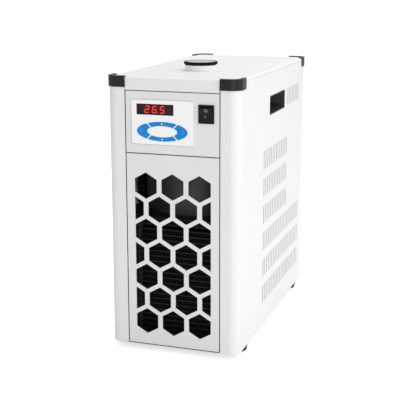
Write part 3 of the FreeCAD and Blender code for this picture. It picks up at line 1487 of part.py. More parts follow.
doc.recompute()
spans = [(piece.Shape.BoundBox.YMin, piece.Shape.BoundBox.YMax) for piece in pieces.values()]
middle = (min(low for low, high in spans) + max(high for low, high in spans)) / 2
front_y_cell = list(SIZES).index("front_y") + 1
sheet.set(f"B{front_y_cell}", str(-middle))
doc.recompute()
for item in doc.Objects:
    if "Invalid" in item.State or "Error" in item.State:
        raise RuntimeError(f"{item.Label} failed: {item.State}")
for label, piece in pieces.items():
    if piece.Shape.isNull() or not piece.Shape.isValid():
        raise RuntimeError(f"{label} has no valid shape")
os.makedirs("parts", exist_ok=True)
for label, piece in pieces.items():
    piece.Shape.exportStep(f"parts/{label}.step")
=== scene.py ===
import json
import math

import bmesh
import bpy
from mathutils import Matrix, Vector


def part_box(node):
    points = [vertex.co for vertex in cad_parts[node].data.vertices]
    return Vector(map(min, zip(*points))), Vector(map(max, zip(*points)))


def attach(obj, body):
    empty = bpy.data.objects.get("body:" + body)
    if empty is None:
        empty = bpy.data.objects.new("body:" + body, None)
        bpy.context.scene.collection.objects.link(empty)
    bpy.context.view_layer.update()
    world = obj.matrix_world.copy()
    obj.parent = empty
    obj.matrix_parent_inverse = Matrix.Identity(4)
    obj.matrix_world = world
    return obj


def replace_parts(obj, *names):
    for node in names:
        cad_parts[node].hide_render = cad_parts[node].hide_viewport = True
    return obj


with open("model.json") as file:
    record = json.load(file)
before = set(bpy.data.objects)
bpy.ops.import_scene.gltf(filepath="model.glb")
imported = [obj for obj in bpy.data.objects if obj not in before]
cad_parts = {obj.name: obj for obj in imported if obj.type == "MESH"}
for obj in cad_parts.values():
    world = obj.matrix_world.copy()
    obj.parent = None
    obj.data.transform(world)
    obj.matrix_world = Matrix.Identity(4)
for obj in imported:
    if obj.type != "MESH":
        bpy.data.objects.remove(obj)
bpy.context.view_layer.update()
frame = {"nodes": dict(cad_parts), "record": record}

cad = frame["nodes"]

# Camera: at the front right and a little above the cabinet, looking slightly down. Its place
# is measured from the cabinet's front face and underside.

front_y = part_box("control_panel")[0].y
tray_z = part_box("chassis_tray")[0].z
camera_yaw = -0.3171
camera_pitch = 0.2060
camera_aside = 0.4942
camera_ahead = 1.3249
camera_rise = 0.5703
camera_data = bpy.data.cameras.new("camera")
camera_data.lens = 82.95
camera_data.sensor_width = 36.0
camera_data.shift_x = -0.0041
camera_data.shift_y = -0.08
camera_data.clip_end = 20.0
camera = bpy.data.objects.new("camera", camera_data)
bpy.context.scene.collection.objects.link(camera)
gaze = Vector((math.sin(camera_yaw) * math.cos(camera_pitch),
               math.cos(camera_yaw) * math.cos(camera_pitch),
               -math.sin(camera_pitch)))
camera.rotation_mode = "QUATERNION"
camera.rotation_quaternion = gaze.to_track_quat("-Z", "Y")
camera.location = (camera_aside, front_y - camera_ahead, tray_z + camera_rise)
bpy.context.scene.camera = camera
bpy.context.scene.view_settings.view_transform = "Standard"

# Studio: three soft lamps in a pale room, the strongest on the right. The room is white to
# the camera and through clear pieces, and lower for the light that it gives.

cabinet_middle = Vector((0.0, 0.0, 0.22))


def soft_lamp(name, place, width, watts):
    """A square lamp that faces the middle of the cabinet."""
    lamp = bpy.data.lights.new(name, "AREA")
    lamp.size = width
    lamp.energy = watts
    holder = bpy.data.objects.new(name, lamp)
    bpy.context.scene.collection.objects.link(holder)
    holder.location = place
    holder.rotation_euler = (cabinet_middle - Vector(place)).to_track_quat("-Z", "Y").to_euler()


soft_lamp("right_lamp", place=(2.1, -0.5, 1.2), width=1.6, watts=16.6)
soft_lamp("top_lamp", place=(0.2, 0.8, 2.3), width=1.8, watts=25.5)
soft_lamp("front_lamp", place=(1.0, -2.2, 0.9), width=1.4, watts=10.8)

room = bpy.data.worlds.new("room")
bpy.context.scene.world = room
room.use_nodes = True
air = room.node_tree
air.nodes.clear()
rays = air.nodes.new("ShaderNodeLightPath")
seen = air.nodes.new("ShaderNodeMath")
seen.operation = "MAXIMUM"
air.links.new(rays.outputs["Is Camera Ray"], seen.inputs[0])
air.links.new(rays.outputs["Is Transmission Ray"], seen.inputs[1])
level = air.nodes.new("ShaderNodeMapRange")
level.inputs["To Min"].default_value = 0.56
level.inputs["To Max"].default_value = 1.0
air.links.new(seen.outputs[0], level.inputs["Value"])
sky = air.nodes.new("ShaderNodeBackground")
sky.inputs["Color"].default_value = (1.0, 1.0, 1.0, 1.0)
air.links.new(level.outputs[0], sky.inputs["Strength"])
sky_out = air.nodes.new("ShaderNodeOutputWorld")
air.links.new(sky.outputs[0], sky_out.inputs["Surface"])

floor_form = bmesh.new()
bmesh.ops.create_circle(floor_form, cap_ends=True, segments=64, radius=9.0)
floor_mesh = bpy.data.meshes.new("floor")
floor_form.to_mesh(floor_mesh)
floor_form.free()
floor = bpy.data.objects.new("floor", floor_mesh)
bpy.context.scene.collection.objects.link(floor)
floor_paper = bpy.data.materials.new("floor_paper")
floor_paper.use_nodes = True
paper = floor_paper.node_tree
paper_shader = paper.nodes["Principled BSDF"]
paper_shader.inputs["Roughness"].default_value = 0.9
paper_shader.inputs["Specular IOR Level"].default_value = 0.0
paper_shader.inputs["Emission Color"].default_value = (1.0, 1.0, 1.0, 1.0)
fibres = paper.nodes.new("ShaderNodeTexNoise")
fibres.inputs["Scale"].default_value = 3.0
paper_tint = paper.nodes.new("ShaderNodeMix")
paper_tint.data_type = "RGBA"
paper_tint.inputs["A"].default_value = (0.90, 0.90, 0.90, 1.0)
paper_tint.inputs["B"].default_value = (0.92, 0.92, 0.92, 1.0)
paper.links.new(fibres.outputs["Fac"], paper_tint.inputs["Factor"])
paper.links.new(paper_tint.outputs["Result"], paper_shader.inputs["Base Color"])
glow_to_camera = 0.60
paper_rays = paper.nodes.new("ShaderNodeLightPath")
paper_lift = paper.nodes.new("ShaderNodeMath")
paper_lift.operation = "MULTIPLY"
paper_lift.inputs[1].default_value = glow_to_camera
paper.links.new(paper_rays.outputs["Is Camera Ray"], paper_lift.inputs[0])
paper.links.new(paper_lift.outputs[0], paper_shader.inputs["Emission Strength"])
floor_mesh.materials.append(floor_paper)

# Chassis tray, tank shelf and power box: folded zinc-coated sheet. The zinc shows its
# crystals as pale and grey patches. The shelf in sight behind the grille is black as painted shade,
# which keeps its edge as dark as the inside of the cabinet.

grain_share = 0.35


def grain_group():
    """A node group that varies colour and roughness in patches and raises a fine grain."""
    group = bpy.data.node_groups.new("surface_grain", "ShaderNodeTree")
    sockets = (("Light", "NodeSocketColor", (0.8, 0.8, 0.8, 1.0)),
               ("Dark", "NodeSocketColor", (0.7, 0.7, 0.7, 1.0)),
               ("Grains per metre", "NodeSocketFloat", 2000.0),
               ("Patches per metre", "NodeSocketFloat", 12.0),
               ("Smooth", "NodeSocketFloat", 0.4),
               ("Rough", "NodeSocketFloat", 0.5),
               ("Height", "NodeSocketFloat", 0.00005),
               ("Stretch", "NodeSocketVector", (1.0, 1.0, 1.0)))
    for name, kind, value in sockets:
        group.interface.new_socket(name=name, in_out="INPUT", socket_type=kind).default_value = value
    for name, kind in (("Color", "NodeSocketColor"), ("Roughness", "NodeSocketFloat"),
                       ("Normal", "NodeSocketVector")):
        group.interface.new_socket(name=name, in_out="OUTPUT", socket_type=kind)
    start = group.nodes.new("NodeGroupInput")
    end = group.nodes.new("NodeGroupOutput")
    place = group.nodes.new("ShaderNodeTexCoord")
    stretch = group.nodes.new("ShaderNodeMapping")
    group.links.new(place.outputs["Object"], stretch.inputs["Vector"])
    group.links.new(start.outputs["Stretch"], stretch.inputs["Scale"])
    patches = group.nodes.new("ShaderNodeTexNoise")
    patches.inputs["Detail"].default_value = 3.0
    group.links.new(place.outputs["Object"], patches.inputs["Vector"])
    group.links.new(start.outputs["Patches per metre"], patches.inputs["Scale"])
    grain = group.nodes.new("ShaderNodeTexNoise")
    grain.inputs["Detail"].default_value = 2.0
    group.links.new(stretch.outputs["Vector"], grain.inputs["Vector"])
    group.links.new(start.outputs["Grains per metre"], grain.inputs["Scale"])
    both = group.nodes.new("ShaderNodeMath")
    both.operation = "MULTIPLY_ADD"
    both.inputs[1].default_value = grain_share
    group.links.new(grain.outputs["Fac"], both.inputs[0])
    group.links.new(patches.outputs["Fac"], both.inputs[2])
    spread = group.nodes.new("ShaderNodeMapRange")
    spread.inputs["From Min"].default_value = 0.40
    spread.inputs["From Max"].default_value = 0.95
    group.links.new(both.outputs[0], spread.inputs["Value"])
    shade = group.nodes.new("ShaderNodeMix")
    shade.data_type = "RGBA"
    group.links.new(spread.outputs[0], shade.inputs["Factor"])
    group.links.new(start.outputs["Dark"], shade.inputs["A"])
    group.links.new(start.outputs["Light"], shade.inputs["B"])
    group.links.new(shade.outputs["Result"], end.inputs["Color"])
    polish = group.nodes.new("ShaderNodeMapRange")
    group.links.new(spread.outputs[0], polish.inputs["Value"])
    group.links.new(start.outputs["Smooth"], polish.inputs["To Min"])
    group.links.new(start.outputs["Rough"], polish.inputs["To Max"])
    group.links.new(polish.outputs[0], end.inputs["Roughness"])
    raised = group.nodes.new("ShaderNodeBump")
    group.links.new(grain.outputs["Fac"], raised.inputs["Height"])
    group.links.new(start.outputs["Height"], raised.inputs["Distance"])
    group.links.new(raised.outputs["Normal"], end.inputs["Normal"])
    return group


surface_grain = grain_group()


def finish(name, light, dark, smooth, rough, grains, height, patches=12.0, stretch=(1.0, 1.0, 1.0),
           **constants):
    """A material that runs the grain group into a shader and sets the shader's other sockets."""
    material = bpy.data.materials.new(name)
    material.use_nodes = True
    tree = material.node_tree
    shader = tree.nodes["Principled BSDF"]
    grain = tree.nodes.new("ShaderNodeGroup")
    grain.node_tree = surface_grain
    values = {"Light": (*light, 1.0), "Dark": (*dark, 1.0), "Smooth": smooth, "Rough": rough,
              "Grains per metre": grains, "Patches per metre": patches, "Height": height,
              "Stretch": stretch}
    for socket, value in values.items():
        grain.inputs[socket].default_value = value
    tree.links.new(grain.outputs["Color"], shader.inputs["Base Color"])
    tree.links.new(grain.outputs["Roughness"], shader.inputs["Roughness"])
    tree.links.new(grain.outputs["Normal"], shader.inputs["Normal"])
    for socket, value in constants.items():
        shader.inputs[socket.replace("_", " ")].default_value = value
    return material


def dress(material, *nodes):
    """Puts a material into the slots of CAD pieces."""
    for node in nodes:
        for place in cad[node].material_slots:
            place.material = material


zinc = finish("zinc", light=(0.56, 0.57, 0.58), dark=(0.40, 0.41, 0.42), smooth=0.36, rough=0.50,
              grains=350.0, height=0.00001, patches=60.0, Metallic=0.9)
dress(zinc, "chassis_tray", "power_box")
# Painted shade: the shelf's black keeps its lit edge from showing through the grille.
shelf_shade_black = finish("shelf_shade_black", light=(0.016, 0.016, 0.017), dark=(0.010, 0.010, 0.011),
                     smooth=0.50, rough=0.62, grains=900.0, height=0.00003, Specular_IOR_Level=0.2)
dress(shelf_shade_black, "tank_shelf")

# Feet: moulded rubber, dull black, bolted through the tray. The cap's gasket and the
# compressor's mounts are of the same rubber.

rubber_black = finish("rubber_black", light=(0.018, 0.018, 0.018), dark=(0.010, 0.010, 0.010),
                      smooth=0.62, rough=0.78, grains=1300.0, height=0.00005,
                      Specular_IOR_Level=0.3)
dress(rubber_black, "foot_front_left", "foot_front_right", "foot_rear_left", "foot_rear_right",
      "cap_gasket", "compressor_mounts")

# Cooling circuit: enamelled compressor, copper pipes, a black condenser with a fan behind it.
# The condenser's fins are thin folded strips between its flat tubes.

black_enamel = finish("black_enamel", light=(0.012, 0.012, 0.012), dark=(0.008, 0.008, 0.008),
                      smooth=0.26, rough=0.36, grains=700.0, height=0.00003)
dress(black_enamel, "compressor")
moulded_black = finish("moulded_black", light=(0.014, 0.014, 0.015), dark=(0.009, 0.009, 0.010),
                       smooth=0.42, rough=0.54, grains=1500.0, height=0.00004,
                       Specular_IOR_Level=0.35)
dress(moulded_black, "terminal_cover", "fan_shroud", "fan_rotor", "mains_inlet", "pump_head")
motor_enamel = finish("motor_enamel", light=(0.075, 0.080, 0.085), dark=(0.055, 0.060, 0.065),
                      smooth=0.36, rough=0.48, grains=900.0, height=0.00004)
dress(motor_enamel, "fan_motor", "pump_motor")
copper = finish("copper", light=(0.78, 0.36, 0.22), dark=(0.58, 0.24, 0.14), smooth=0.28,
                rough=0.42, grains=500.0, height=0.00001, patches=40.0, Metallic=1.0)
dress(copper, "evaporator_coil", "discharge_line", "liquid_line", "vapour_line")
condenser_coat = finish("condenser_coat", light=(0.014, 0.014, 0.015), dark=(0.008, 0.008, 0.009),
                        smooth=0.46, rough=0.60, grains=1200.0, height=0.00003,
                        Specular_IOR_Level=0.3)
dress(condenser_coat, "condenser")


def moved(geometry):
    """The vertices in what an operator gives back."""
    return [item for item in geometry if isinstance(item, bmesh.types.BMVert)]


def new_piece(name, form, body, slot, *materials):
    """Turns a finished bmesh into a piece that rides on a body."""
    mesh = bpy.data.meshes.new(name)
    form.to_mesh(mesh)
    form.free()
    for material in materials:
        mesh.materials.append(material)
    piece = bpy.data.objects.new(name, mesh)
    bpy.context.scene.collection.objects.link(piece)
    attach(piece, body)
    return piece


fin_low, fin_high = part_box("condenser_fins")
fin_rows = 19
row_pitch = 0.0087
fold_pitch = 0.0024
fin_sheet = 0.00016
fold_rise = fin_high.z - fin_low.z - (fin_rows - 1) * row_pitch - 2 * fin_sheet
fold_count = 2 * int((fin_high.x - fin_low.x - fin_sheet) / fold_pitch)
fins = bmesh.new()
crease = fins.verts.new((fin_low.x + fin_sheet, fin_low.y, fin_low.z + fin_sheet))
for index in range(fold_count):
    crease = bmesh.ops.extrude_vert_indiv(fins, verts=[crease])["verts"][0]
    rise = -fold_rise if index % 2 else fold_rise
    bmesh.ops.translate(fins, vec=(fold_pitch / 2, 0, rise), verts=[crease])
swept_fins = bmesh.ops.extrude_edge_only(fins, edges=fins.edges[:])["geom"]
bmesh.ops.translate(fins, vec=(0, fin_high.y - fin_low.y, 0), verts=moved(swept_fins))
bmesh.ops.solidify(fins, geom=fins.faces[:], thickness=fin_sheet)
bmesh.ops.recalc_face_normals(fins, faces=fins.faces[:])
first_row = fins.verts[:] + fins.edges[:] + fins.faces[:]
for row in range(1, fin_rows):
    next_row = bmesh.ops.duplicate(fins, geom=first_row)["geom"]
    bmesh.ops.translate(fins, vec=(0, 0, row * row_pitch), verts=moved(next_row))
fin_metal = finish("fin_metal", light=(0.030, 0.030, 0.032), dark=(0.016, 0.016, 0.018),
                   smooth=0.44, rough=0.58, grains=900.0, height=0.00001, Metallic=0.5)
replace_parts(new_piece("fin_strips", fins, "cabinet", "fin_metal", fin_metal), "condenser_fins")

# Condenser seal: a strip of black foam squeezed between the condenser and the shelf, so that
# the fan draws its air through the fins and not over them.


def add_box(form, low, high):
    """Adds a box between two corners to a form and gives its vertices."""
    low = Vector(low)
    high = Vector(high)
    verts = bmesh.ops.create_cube(form, size=1.0)["verts"]
    bmesh.ops.scale(form, vec=high - low, verts=verts)
    bmesh.ops.translate(form, vec=(low + high) / 2, verts=verts)
    return verts


# This black foam also makes the seam strips further down, which are painted shade.
foam_black_and_seam_shade = finish("foam_black_and_seam_shade", light=(0.012, 0.012, 0.012), dark=(0.006, 0.006, 0.006),
                    smooth=0.85, rough=0.95, grains=2500.0, height=0.0001, Specular_IOR_Level=0.1)
core_low, core_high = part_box("condenser")
shelf_sheet = 0.0015
seal_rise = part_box("tank_shelf")[1].z - shelf_sheet - core_high.z
seal_inset = 0.002
seal_bulge = 0.0015
seal = bmesh.new()
add_box(seal, (core_low.x, core_low.y + seal_inset, core_high.z),
        (core_high.x, core_high.y - seal_inset, core_high.z + seal_rise))
upright_limit = seal_rise * 1.01
upright = [edge for edge in seal.edges if edge.calc_length() < upright_limit]
bmesh.ops.subdivide_edges(seal, edges=upright, cuts=5, use_grid_fill=True)
for vert in seal.verts:
    bulge = seal_bulge * math.sin(math.pi * (vert.co.z - core_high.z) / seal_rise)
    vert.co.y += math.copysign(bulge, vert.co.y - (core_low.y + core_high.y) / 2)
new_piece("condenser_seal", seal, "cabinet", "rubber_black", foam_black_and_seam_shade)

# Bath: a welded stainless tank with a lid, heater and probe, inside a jacket of dark foam
# with a smooth skin.

stainless = finish("stainless", light=(0.60, 0.60, 0.59), dark=(0.50, 0.50, 0.49), smooth=0.22,
                   rough=0.34, grains=900.0, height=0.00001, stretch=(1.0, 1.0, 0.06), Metallic=1.0)
dress(stainless, "bath_tank", "tank_lid", "heater", "temperature_probe")
foam_skin = finish("foam_skin", light=(0.050, 0.052, 0.055), dark=(0.038, 0.040, 0.043),
                   smooth=0.34, rough=0.42, grains=1100.0, height=0.00004)
dress(foam_skin, "tank_jacket")

# Hoses and spigots: pale silicone hoses, each end held on its stub by a steel band with a worm
# screw in a small box. The spigots and the drain cock are turned brass, nickel plated.


def soften(form, edges, offset, segments=2):
    """Rounds edges of a form off."""
    bmesh.ops.bevel(form, geom=edges, offset=offset, offset_type="OFFSET", affect="EDGES",
                    segments=segments, profile=0.5, material=-1)


silicone = finish("silicone", light=(0.44, 0.46, 0.45), dark=(0.36, 0.38, 0.37), smooth=0.38,
                  rough=0.50, grains=900.0, height=0.00003, Subsurface_Weight=0.1)
dress(silicone, "suction_hose", "return_hose", "delivery_hose")
nickel = finish("nickel", light=(0.58, 0.55, 0.48), dark=(0.46, 0.43, 0.37), smooth=0.24,
                rough=0.34, grains=800.0, height=0.00001, patches=50.0, Metallic=1.0)
dress(nickel, "outlet_spigot", "return_spigot", "drain_cock")
spigot_low, spigot_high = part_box("outlet_spigot")
port_x = (spigot_low.x + spigot_high.x) / 2
port_z = (spigot_low.z + spigot_high.z) / 2
hose_radius = port_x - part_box("delivery_hose")[0].x
motor_low, motor_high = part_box("pump_motor")
pump_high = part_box("pump_head")[1]
pump_y = (motor_low.y + motor_high.y) / 2
pump_z = motor_high.z - (motor_high.y - motor_low.y) / 2
band_width = 0.008
band_sheet = 0.0007
band_inset = 0.006
worm_box_height = 0.0045
worm_radius = 0.0032
band_radius = hose_radius + band_sheet
worm_aside = band_width * 0.7
tail_y = spigot_low.y + band_inset
stub_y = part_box("bath_tank")[1].y - band_inset
stub_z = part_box("return_hose")[1].z - hose_radius
along_y = Matrix.Rotation(math.radians(-90), 4, "X")
along_x = Matrix.Rotation(math.radians(90), 4, "Y")
band_places = (Matrix.Translation((port_x, tail_y, port_z)) @ along_y,
               Matrix.Translation((-port_x, tail_y, port_z)) @ along_y,
               Matrix.Translation((port_x, stub_y, stub_z)) @ along_y,
               Matrix.Translation((-port_x, stub_y, stub_z)) @ along_y,
               Matrix.Translation((pump_high.x - band_inset, pump_y, pump_z)) @ along_x,
               Matrix.Translation((port_x, pump_y, pump_high.z - band_inset)))
bands = bmesh.new()
bmesh.ops.create_circle(bands, segments=40, radius=hose_radius)
bmesh.ops.create_circle(bands, segments=40, radius=band_radius)
bmesh.ops.bridge_loops(bands, edges=bands.edges[:])
band_sides = bmesh.ops.extrude_face_region(bands, geom=bands.faces[:])["geom"]
bmesh.ops.translate(bands, vec=(0, 0, band_width), verts=moved(band_sides))
bmesh.ops.translate(bands, vec=(0, 0, -band_width / 2), verts=bands.verts[:])
worm_box = add_box(bands, (-band_width / 2, hose_radius, -band_width / 2),
                   (band_width / 2, band_radius + worm_box_height, band_width / 2))
worm_edges = list({edge for vert in worm_box for edge in vert.link_edges})
soften(bands, worm_edges, offset=0.0006)
worm_place = Matrix.Translation((worm_aside, band_radius + worm_box_height / 2, 0)) @ along_x
bmesh.ops.create_cone(bands, cap_ends=True, segments=6, radius1=worm_radius, radius2=worm_radius,
                      depth=band_width / 2, matrix=worm_place)
bmesh.ops.recalc_face_normals(bands, faces=bands.faces[:])
one_band = bands.verts[:] + bands.edges[:] + bands.faces[:]
for band_place in band_places[1:]:
    copy = bmesh.ops.duplicate(bands, geom=one_band)["geom"]
    bmesh.ops.transform(bands, matrix=band_place, verts=moved(copy))
bmesh.ops.transform(bands, matrix=band_places[0], verts=moved(one_band))
new_piece("hose_bands", bands, "cabinet", "stainless", stainless)

# Wire duct: a black moulded channel on the left wall, which leads the wires from the switch
# down past the bath to the shelf. Its lid snaps onto two rows of fingers. Its black is also
# painted shade: it sits where the left wall shows through the grille and keeps that view dark.

# Partly painted shade: the duct darkens the left wall seen through the grille.
duct_black_and_shade = finish("duct_black_and_shade", light=(0.014, 0.014, 0.015), dark=(0.009, 0.009, 0.010),
                    smooth=0.44, rough=0.56, grains=1500.0, height=0.00003, Specular_IOR_Level=0.3)
duct_off_wall = 0.0013
duct_from_front = 0.113
duct_depth = 0.012
duct_width = 0.022
duct_height = 0.120
duct_sheet = 0.0012
duct_wall_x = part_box("left_side_panel")[0].x + duct_off_wall
duct_near_y = front_y + duct_from_front
duct_low_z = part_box("tank_shelf")[1].z
duct_high_z = duct_low_z + duct_height
finger_width = 0.005
finger_pitch = 0.0085
finger_count = int((duct_high_z - duct_low_z) / finger_pitch)
duct = bmesh.new()
add_box(duct, (duct_wall_x, duct_near_y, duct_low_z),
        (duct_wall_x + duct_sheet, duct_near_y + duct_width, duct_high_z))
add_box(duct, (duct_wall_x + duct_depth - duct_sheet, duct_near_y - duct_sheet, duct_low_z),
        (duct_wall_x + duct_depth, duct_near_y + duct_width + duct_sheet, duct_high_z))
for index in range(finger_count):
    finger_z = duct_low_z + index * finger_pitch
    for wall_y in (duct_near_y, duct_near_y + duct_width - duct_sheet):
        add_box(duct, (duct_wall_x + duct_sheet, wall_y, finger_z),
                (duct_wall_x + duct_depth - duct_sheet, wall_y + duct_sheet, finger_z + finger_width))
soften(duct, duct.edges[:], offset=0.0003)
new_piece("wire_duct", duct, "cabinet", "recess_black", duct_black_and_shade)

# Rear panel, grille and control panel: folded sheet, powder-coated in a pale grey that is
# cooler than the sides and a little darker. The darker tone is painted shade for faces turned
# from the right lamp. Six screws with a hexagon socket hold the rear panel.

# Partly painted shade: this grey is set a little darker than the sides' white.
panel_paint_shaded = finish("panel_paint_shaded", light=(0.83, 0.833, 0.835), dark=(0.79, 0.793, 0.795),
                     smooth=0.34, rough=0.44, grains=900.0, height=0.00003, patches=9.0)
dress(panel_paint_shaded, "rear_panel", "front_grille", "control_panel")
rear_low, rear_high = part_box("rear_panel")
screw_radius = 0.003
screw_height = 0.0018
screw_socket_radius = 0.0015
screw_socket_depth = screw_height * 0.7
screw_margin_x = 0.0065
screw_margin_z = 0.012
screw_columns = (rear_low.x + screw_margin_x, rear_high.x - screw_margin_x)
screw_rows = (rear_low.z + screw_margin_z, (rear_low.z + rear_high.z) / 2, rear_high.z - screw_margin_z)
crown = Matrix.Translation((0, 0, screw_height))
screws = bmesh.new()
bmesh.ops.create_circle(screws, segments=24, radius=screw_radius, matrix=crown)
rim_edges = screws.edges[:]
bmesh.ops.create_circle(screws, segments=6, radius=screw_socket_radius, matrix=crown)
socket_edges = [edge for edge in screws.edges if edge not in rim_edges]
bmesh.ops.bridge_loops(screws, edges=rim_edges + socket_edges)
skirt = bmesh.ops.extrude_edge_only(screws, edges=rim_edges)["geom"]
bmesh.ops.translate(screws, vec=(0, 0, -screw_height), verts=moved(skirt))
well = bmesh.ops.extrude_edge_only(screws, edges=socket_edges)["geom"]
bmesh.ops.translate(screws, vec=(0, 0, -screw_socket_depth), verts=moved(well))
well_edges = [item for item in well if isinstance(item, bmesh.types.BMEdge)]
bmesh.ops.holes_fill(screws, edges=well_edges, sides=6)
soften(screws, rim_edges, offset=0.0006, segments=3)
bmesh.ops.recalc_face_normals(screws, faces=screws.faces[:])
first_screw = Matrix.Translation((screw_columns[0], rear_high.y, screw_rows[0])) @ along_y
bmesh.ops.transform(screws, matrix=first_screw, verts=screws.verts[:])
one_screw = screws.verts[:] + screws.edges[:] + screws.faces[:]
for x in screw_columns:
    for z in screw_rows:
        if (x, z) != (screw_columns[0], screw_rows[0]):
            copy = bmesh.ops.duplicate(screws, geom=one_screw)["geom"]
            bmesh.ops.translate(screws, vec=(x - screw_columns[0], 0, z - screw_rows[0]),
                                verts=moved(copy))
screw_steel = finish("screw_steel", light=(0.50, 0.50, 0.49), dark=(0.38, 0.38, 0.37), smooth=0.26,
                     rough=0.38, grains=1500.0, height=0.00001, patches=200.0, Metallic=1.0)
new_piece("rear_screws", screws, "cabinet", "galvanised", screw_steel)

# Mains inlet: a moulded black socket clipped into the rear panel. Three flat nickel contacts
# stand in it, the middle one higher.

openings = frame["record"]["physics"]["openings"]
socket_mouth = next(item for item in openings if item["name"] == "mains_socket")
mouth_low, mouth_high = (Vector(corner) for corner in socket_mouth["box_m"])
mouth_x = (mouth_low.x + mouth_high.x) / 2
mouth_z = (mouth_low.z + mouth_high.z) / 2
contact_half_x = 0.001
contact_half_z = 0.002
contact_spread = 0.007
outer_contact_z = -0.0015
middle_contact_z = 0.002
contact_near_y = mouth_low.y - 0.002
contact_far_y = mouth_high.y - 0.003
contacts = bmesh.new()
for x, z in ((-contact_spread, outer_contact_z), (0.0, middle_contact_z),
             (contact_spread, outer_contact_z)):
    add_box(contacts, (mouth_x + x - contact_half_x, contact_near_y, mouth_z + z - contact_half_z),
            (mouth_x + x + contact_half_x, contact_far_y, mouth_z + z + contact_half_z))
soften(contacts, contacts.edges[:], offset=0.0003)
new_piece("inlet_contacts", contacts, "cabinet", "brass_nickel", nickel)

# Drain lever: a flat handle dipped in red plastic. Its stem sits in the drain cock and turns
# the valve.

lever_red = finish("lever_red", light=(0.42, 0.018, 0.014), dark=(0.34, 0.012, 0.010), smooth=0.24,
                   rough=0.34, grains=1200.0, height=0.00002)
dress(lever_red, "drain_lever")

# Side panels and top cover: folded sheet, powder-coated in a warm white. The coat has a fine
# orange peel and hardly any shade of its own.

cabinet_paint = finish("cabinet_paint", light=(0.86, 0.86, 0.857), dark=(0.83, 0.83, 0.827),
                       smooth=0.38, rough=0.46, grains=900.0, height=0.00003, patches=6.0)
dress(cabinet_paint, "right_side_panel", "left_side_panel", "top_cover")

# Seam strips: black strips in the joints round and under the front panels, set a little behind
# the face. They are painted shade for these gaps and show as a thin dark line.

panel_low, panel_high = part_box("control_panel")
seam_gap = 0.001
seam_clear = 0.00003
seam_depth = 0.0002
side_strip_depth = 0.012
level_strip_depth = 0.0035
strip_y = front_y + seam_depth
# Painted shade: dark strips that stand for the shadow inside the panel joints.
seam_shade = bmesh.new()
for near_x, far_x in ((panel_high.x + seam_clear, panel_high.x + seam_gap - seam_clear),
                      (panel_low.x - seam_gap + seam_clear, panel_low.x - seam_clear)):
    add_box(seam_shade, (near_x, strip_y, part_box("front_grille")[0].z),
            (far_x, front_y + side_strip_depth, panel_high.z))
for above_z in (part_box("front_grille")[0].z, panel_low.z, panel_high.z):
    under_z = above_z - seam_gap
    add_box(seam_shade, (panel_low.x, strip_y, under_z + seam_clear),
            (panel_high.x, front_y + level_strip_depth, under_z + seam_gap - seam_clear))
new_piece("seam_shade_strips", seam_shade, "cabinet", "rubber_black", foam_black_and_seam_shade)

# Corner caps: four moulded clips over the corners of the cover, dark greenish grey with a
# satin face. Each hooks over the cover and the side panel below it.

clip_plastic = finish("clip_plastic", light=(0.008, 0.012, 0.010), dark=(0.005, 0.008, 0.007),
                      smooth=0.26, rough=0.34, grains=1600.0, height=0.00002,
                      Specular_IOR_Level=0.4)
dress(clip_plastic, "corner_cap_front_left", "corner_cap_front_right", "corner_cap_rear_left",
      "corner_cap_rear_right")

# Carrying recesses: black moulded cups with a fine grain, fixed behind the openings of the
# side panels, one for each hand. Their black is set darker than the other moulded black,
# as painted shade for the inside of the recess.

# Partly painted shade: this very dark black stands for the shade inside the cup.
recess_black = finish("recess_black", light=(0.006, 0.0065, 0.007), dark=(0.004, 0.0045, 0.005),
                      smooth=0.34, rough=0.46, grains=1400.0, height=0.00003,
                      Specular_IOR_Level=0.3)
dress(recess_black, "handle_recess_right", "handle_recess_left")

# Filler: a white moulded neck on the tank's lid, closed by a black cap that screws in. The cap
# has fine grip ribs round its rim and a turned grey disc let into its top.

neck_white = finish("neck_white", light=(0.84, 0.845, 0.845), dark=(0.80, 0.805, 0.805),
                    smooth=0.25, rough=0.35, grains=1500.0, height=0.00002)
dress(neck_white, "filler_neck")
cap_black = finish("cap_black", light=(0.005, 0.005, 0.006), dark=(0.003, 0.003, 0.004),
                   smooth=0.40, rough=0.52, grains=1700.0, height=0.00003, Specular_IOR_Level=0.12)
dress(cap_black, "filler_cap")
disc_grey = finish("disc_grey", light=(0.60, 0.60, 0.59), dark=(0.52, 0.52, 0.51), smooth=0.36,
                   rough=0.48, grains=700.0, height=0.00001, patches=30.0, Metallic=0.2)
dress(disc_grey, "cap_disc")
cap_low, cap_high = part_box("filler_cap")
cap_middle = (cap_low + cap_high) / 2
cap_radius = (cap_high.x - cap_low.x) / 2
rib_count = 60
rib_proud = 0.0003
rib_root = 0.0005
rib_half = 0.0005
rib_low_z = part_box("cap_gasket")[1].z + 0.0006
rib_high_z = cap_high.z - 0.0014
ribs = bmesh.new()
add_box(ribs, (cap_radius - rib_root, -rib_half, rib_low_z),
        (cap_radius + rib_proud, rib_half, rib_high_z))
soften(ribs, ribs.edges[:], offset=0.00025)
one_rib = ribs.verts[:] + ribs.edges[:] + ribs.faces[:]
for index in range(1, rib_count):
    copy = bmesh.ops.duplicate(ribs, geom=one_rib)["geom"]
    turn = Matrix.Rotation(2 * math.pi * index / rib_count, 3, "Z")
    bmesh.ops.rotate(ribs, cent=(0, 0, 0), matrix=turn, verts=moved(copy))
bmesh.ops.translate(ribs, vec=(cap_middle.x, cap_middle.y, 0), verts=ribs.verts[:])
new_piece("cap_grip", ribs, "cap", "cap_black", cap_black)

# Controller: a green circuit board on standoffs behind the keypad. It carries the display and
# one contact for each key.

board_green = finish("board_green", light=(0.015, 0.13, 0.05), dark=(0.010, 0.10, 0.04),
                     smooth=0.30, rough=0.42, grains=1500.0, height=0.00002, patches=80.0)
dress(board_green, "controller_board")

# Keypad: a white printed film with a thin grey border, stuck to the control panel. It has
# openings for the four keys and the display.

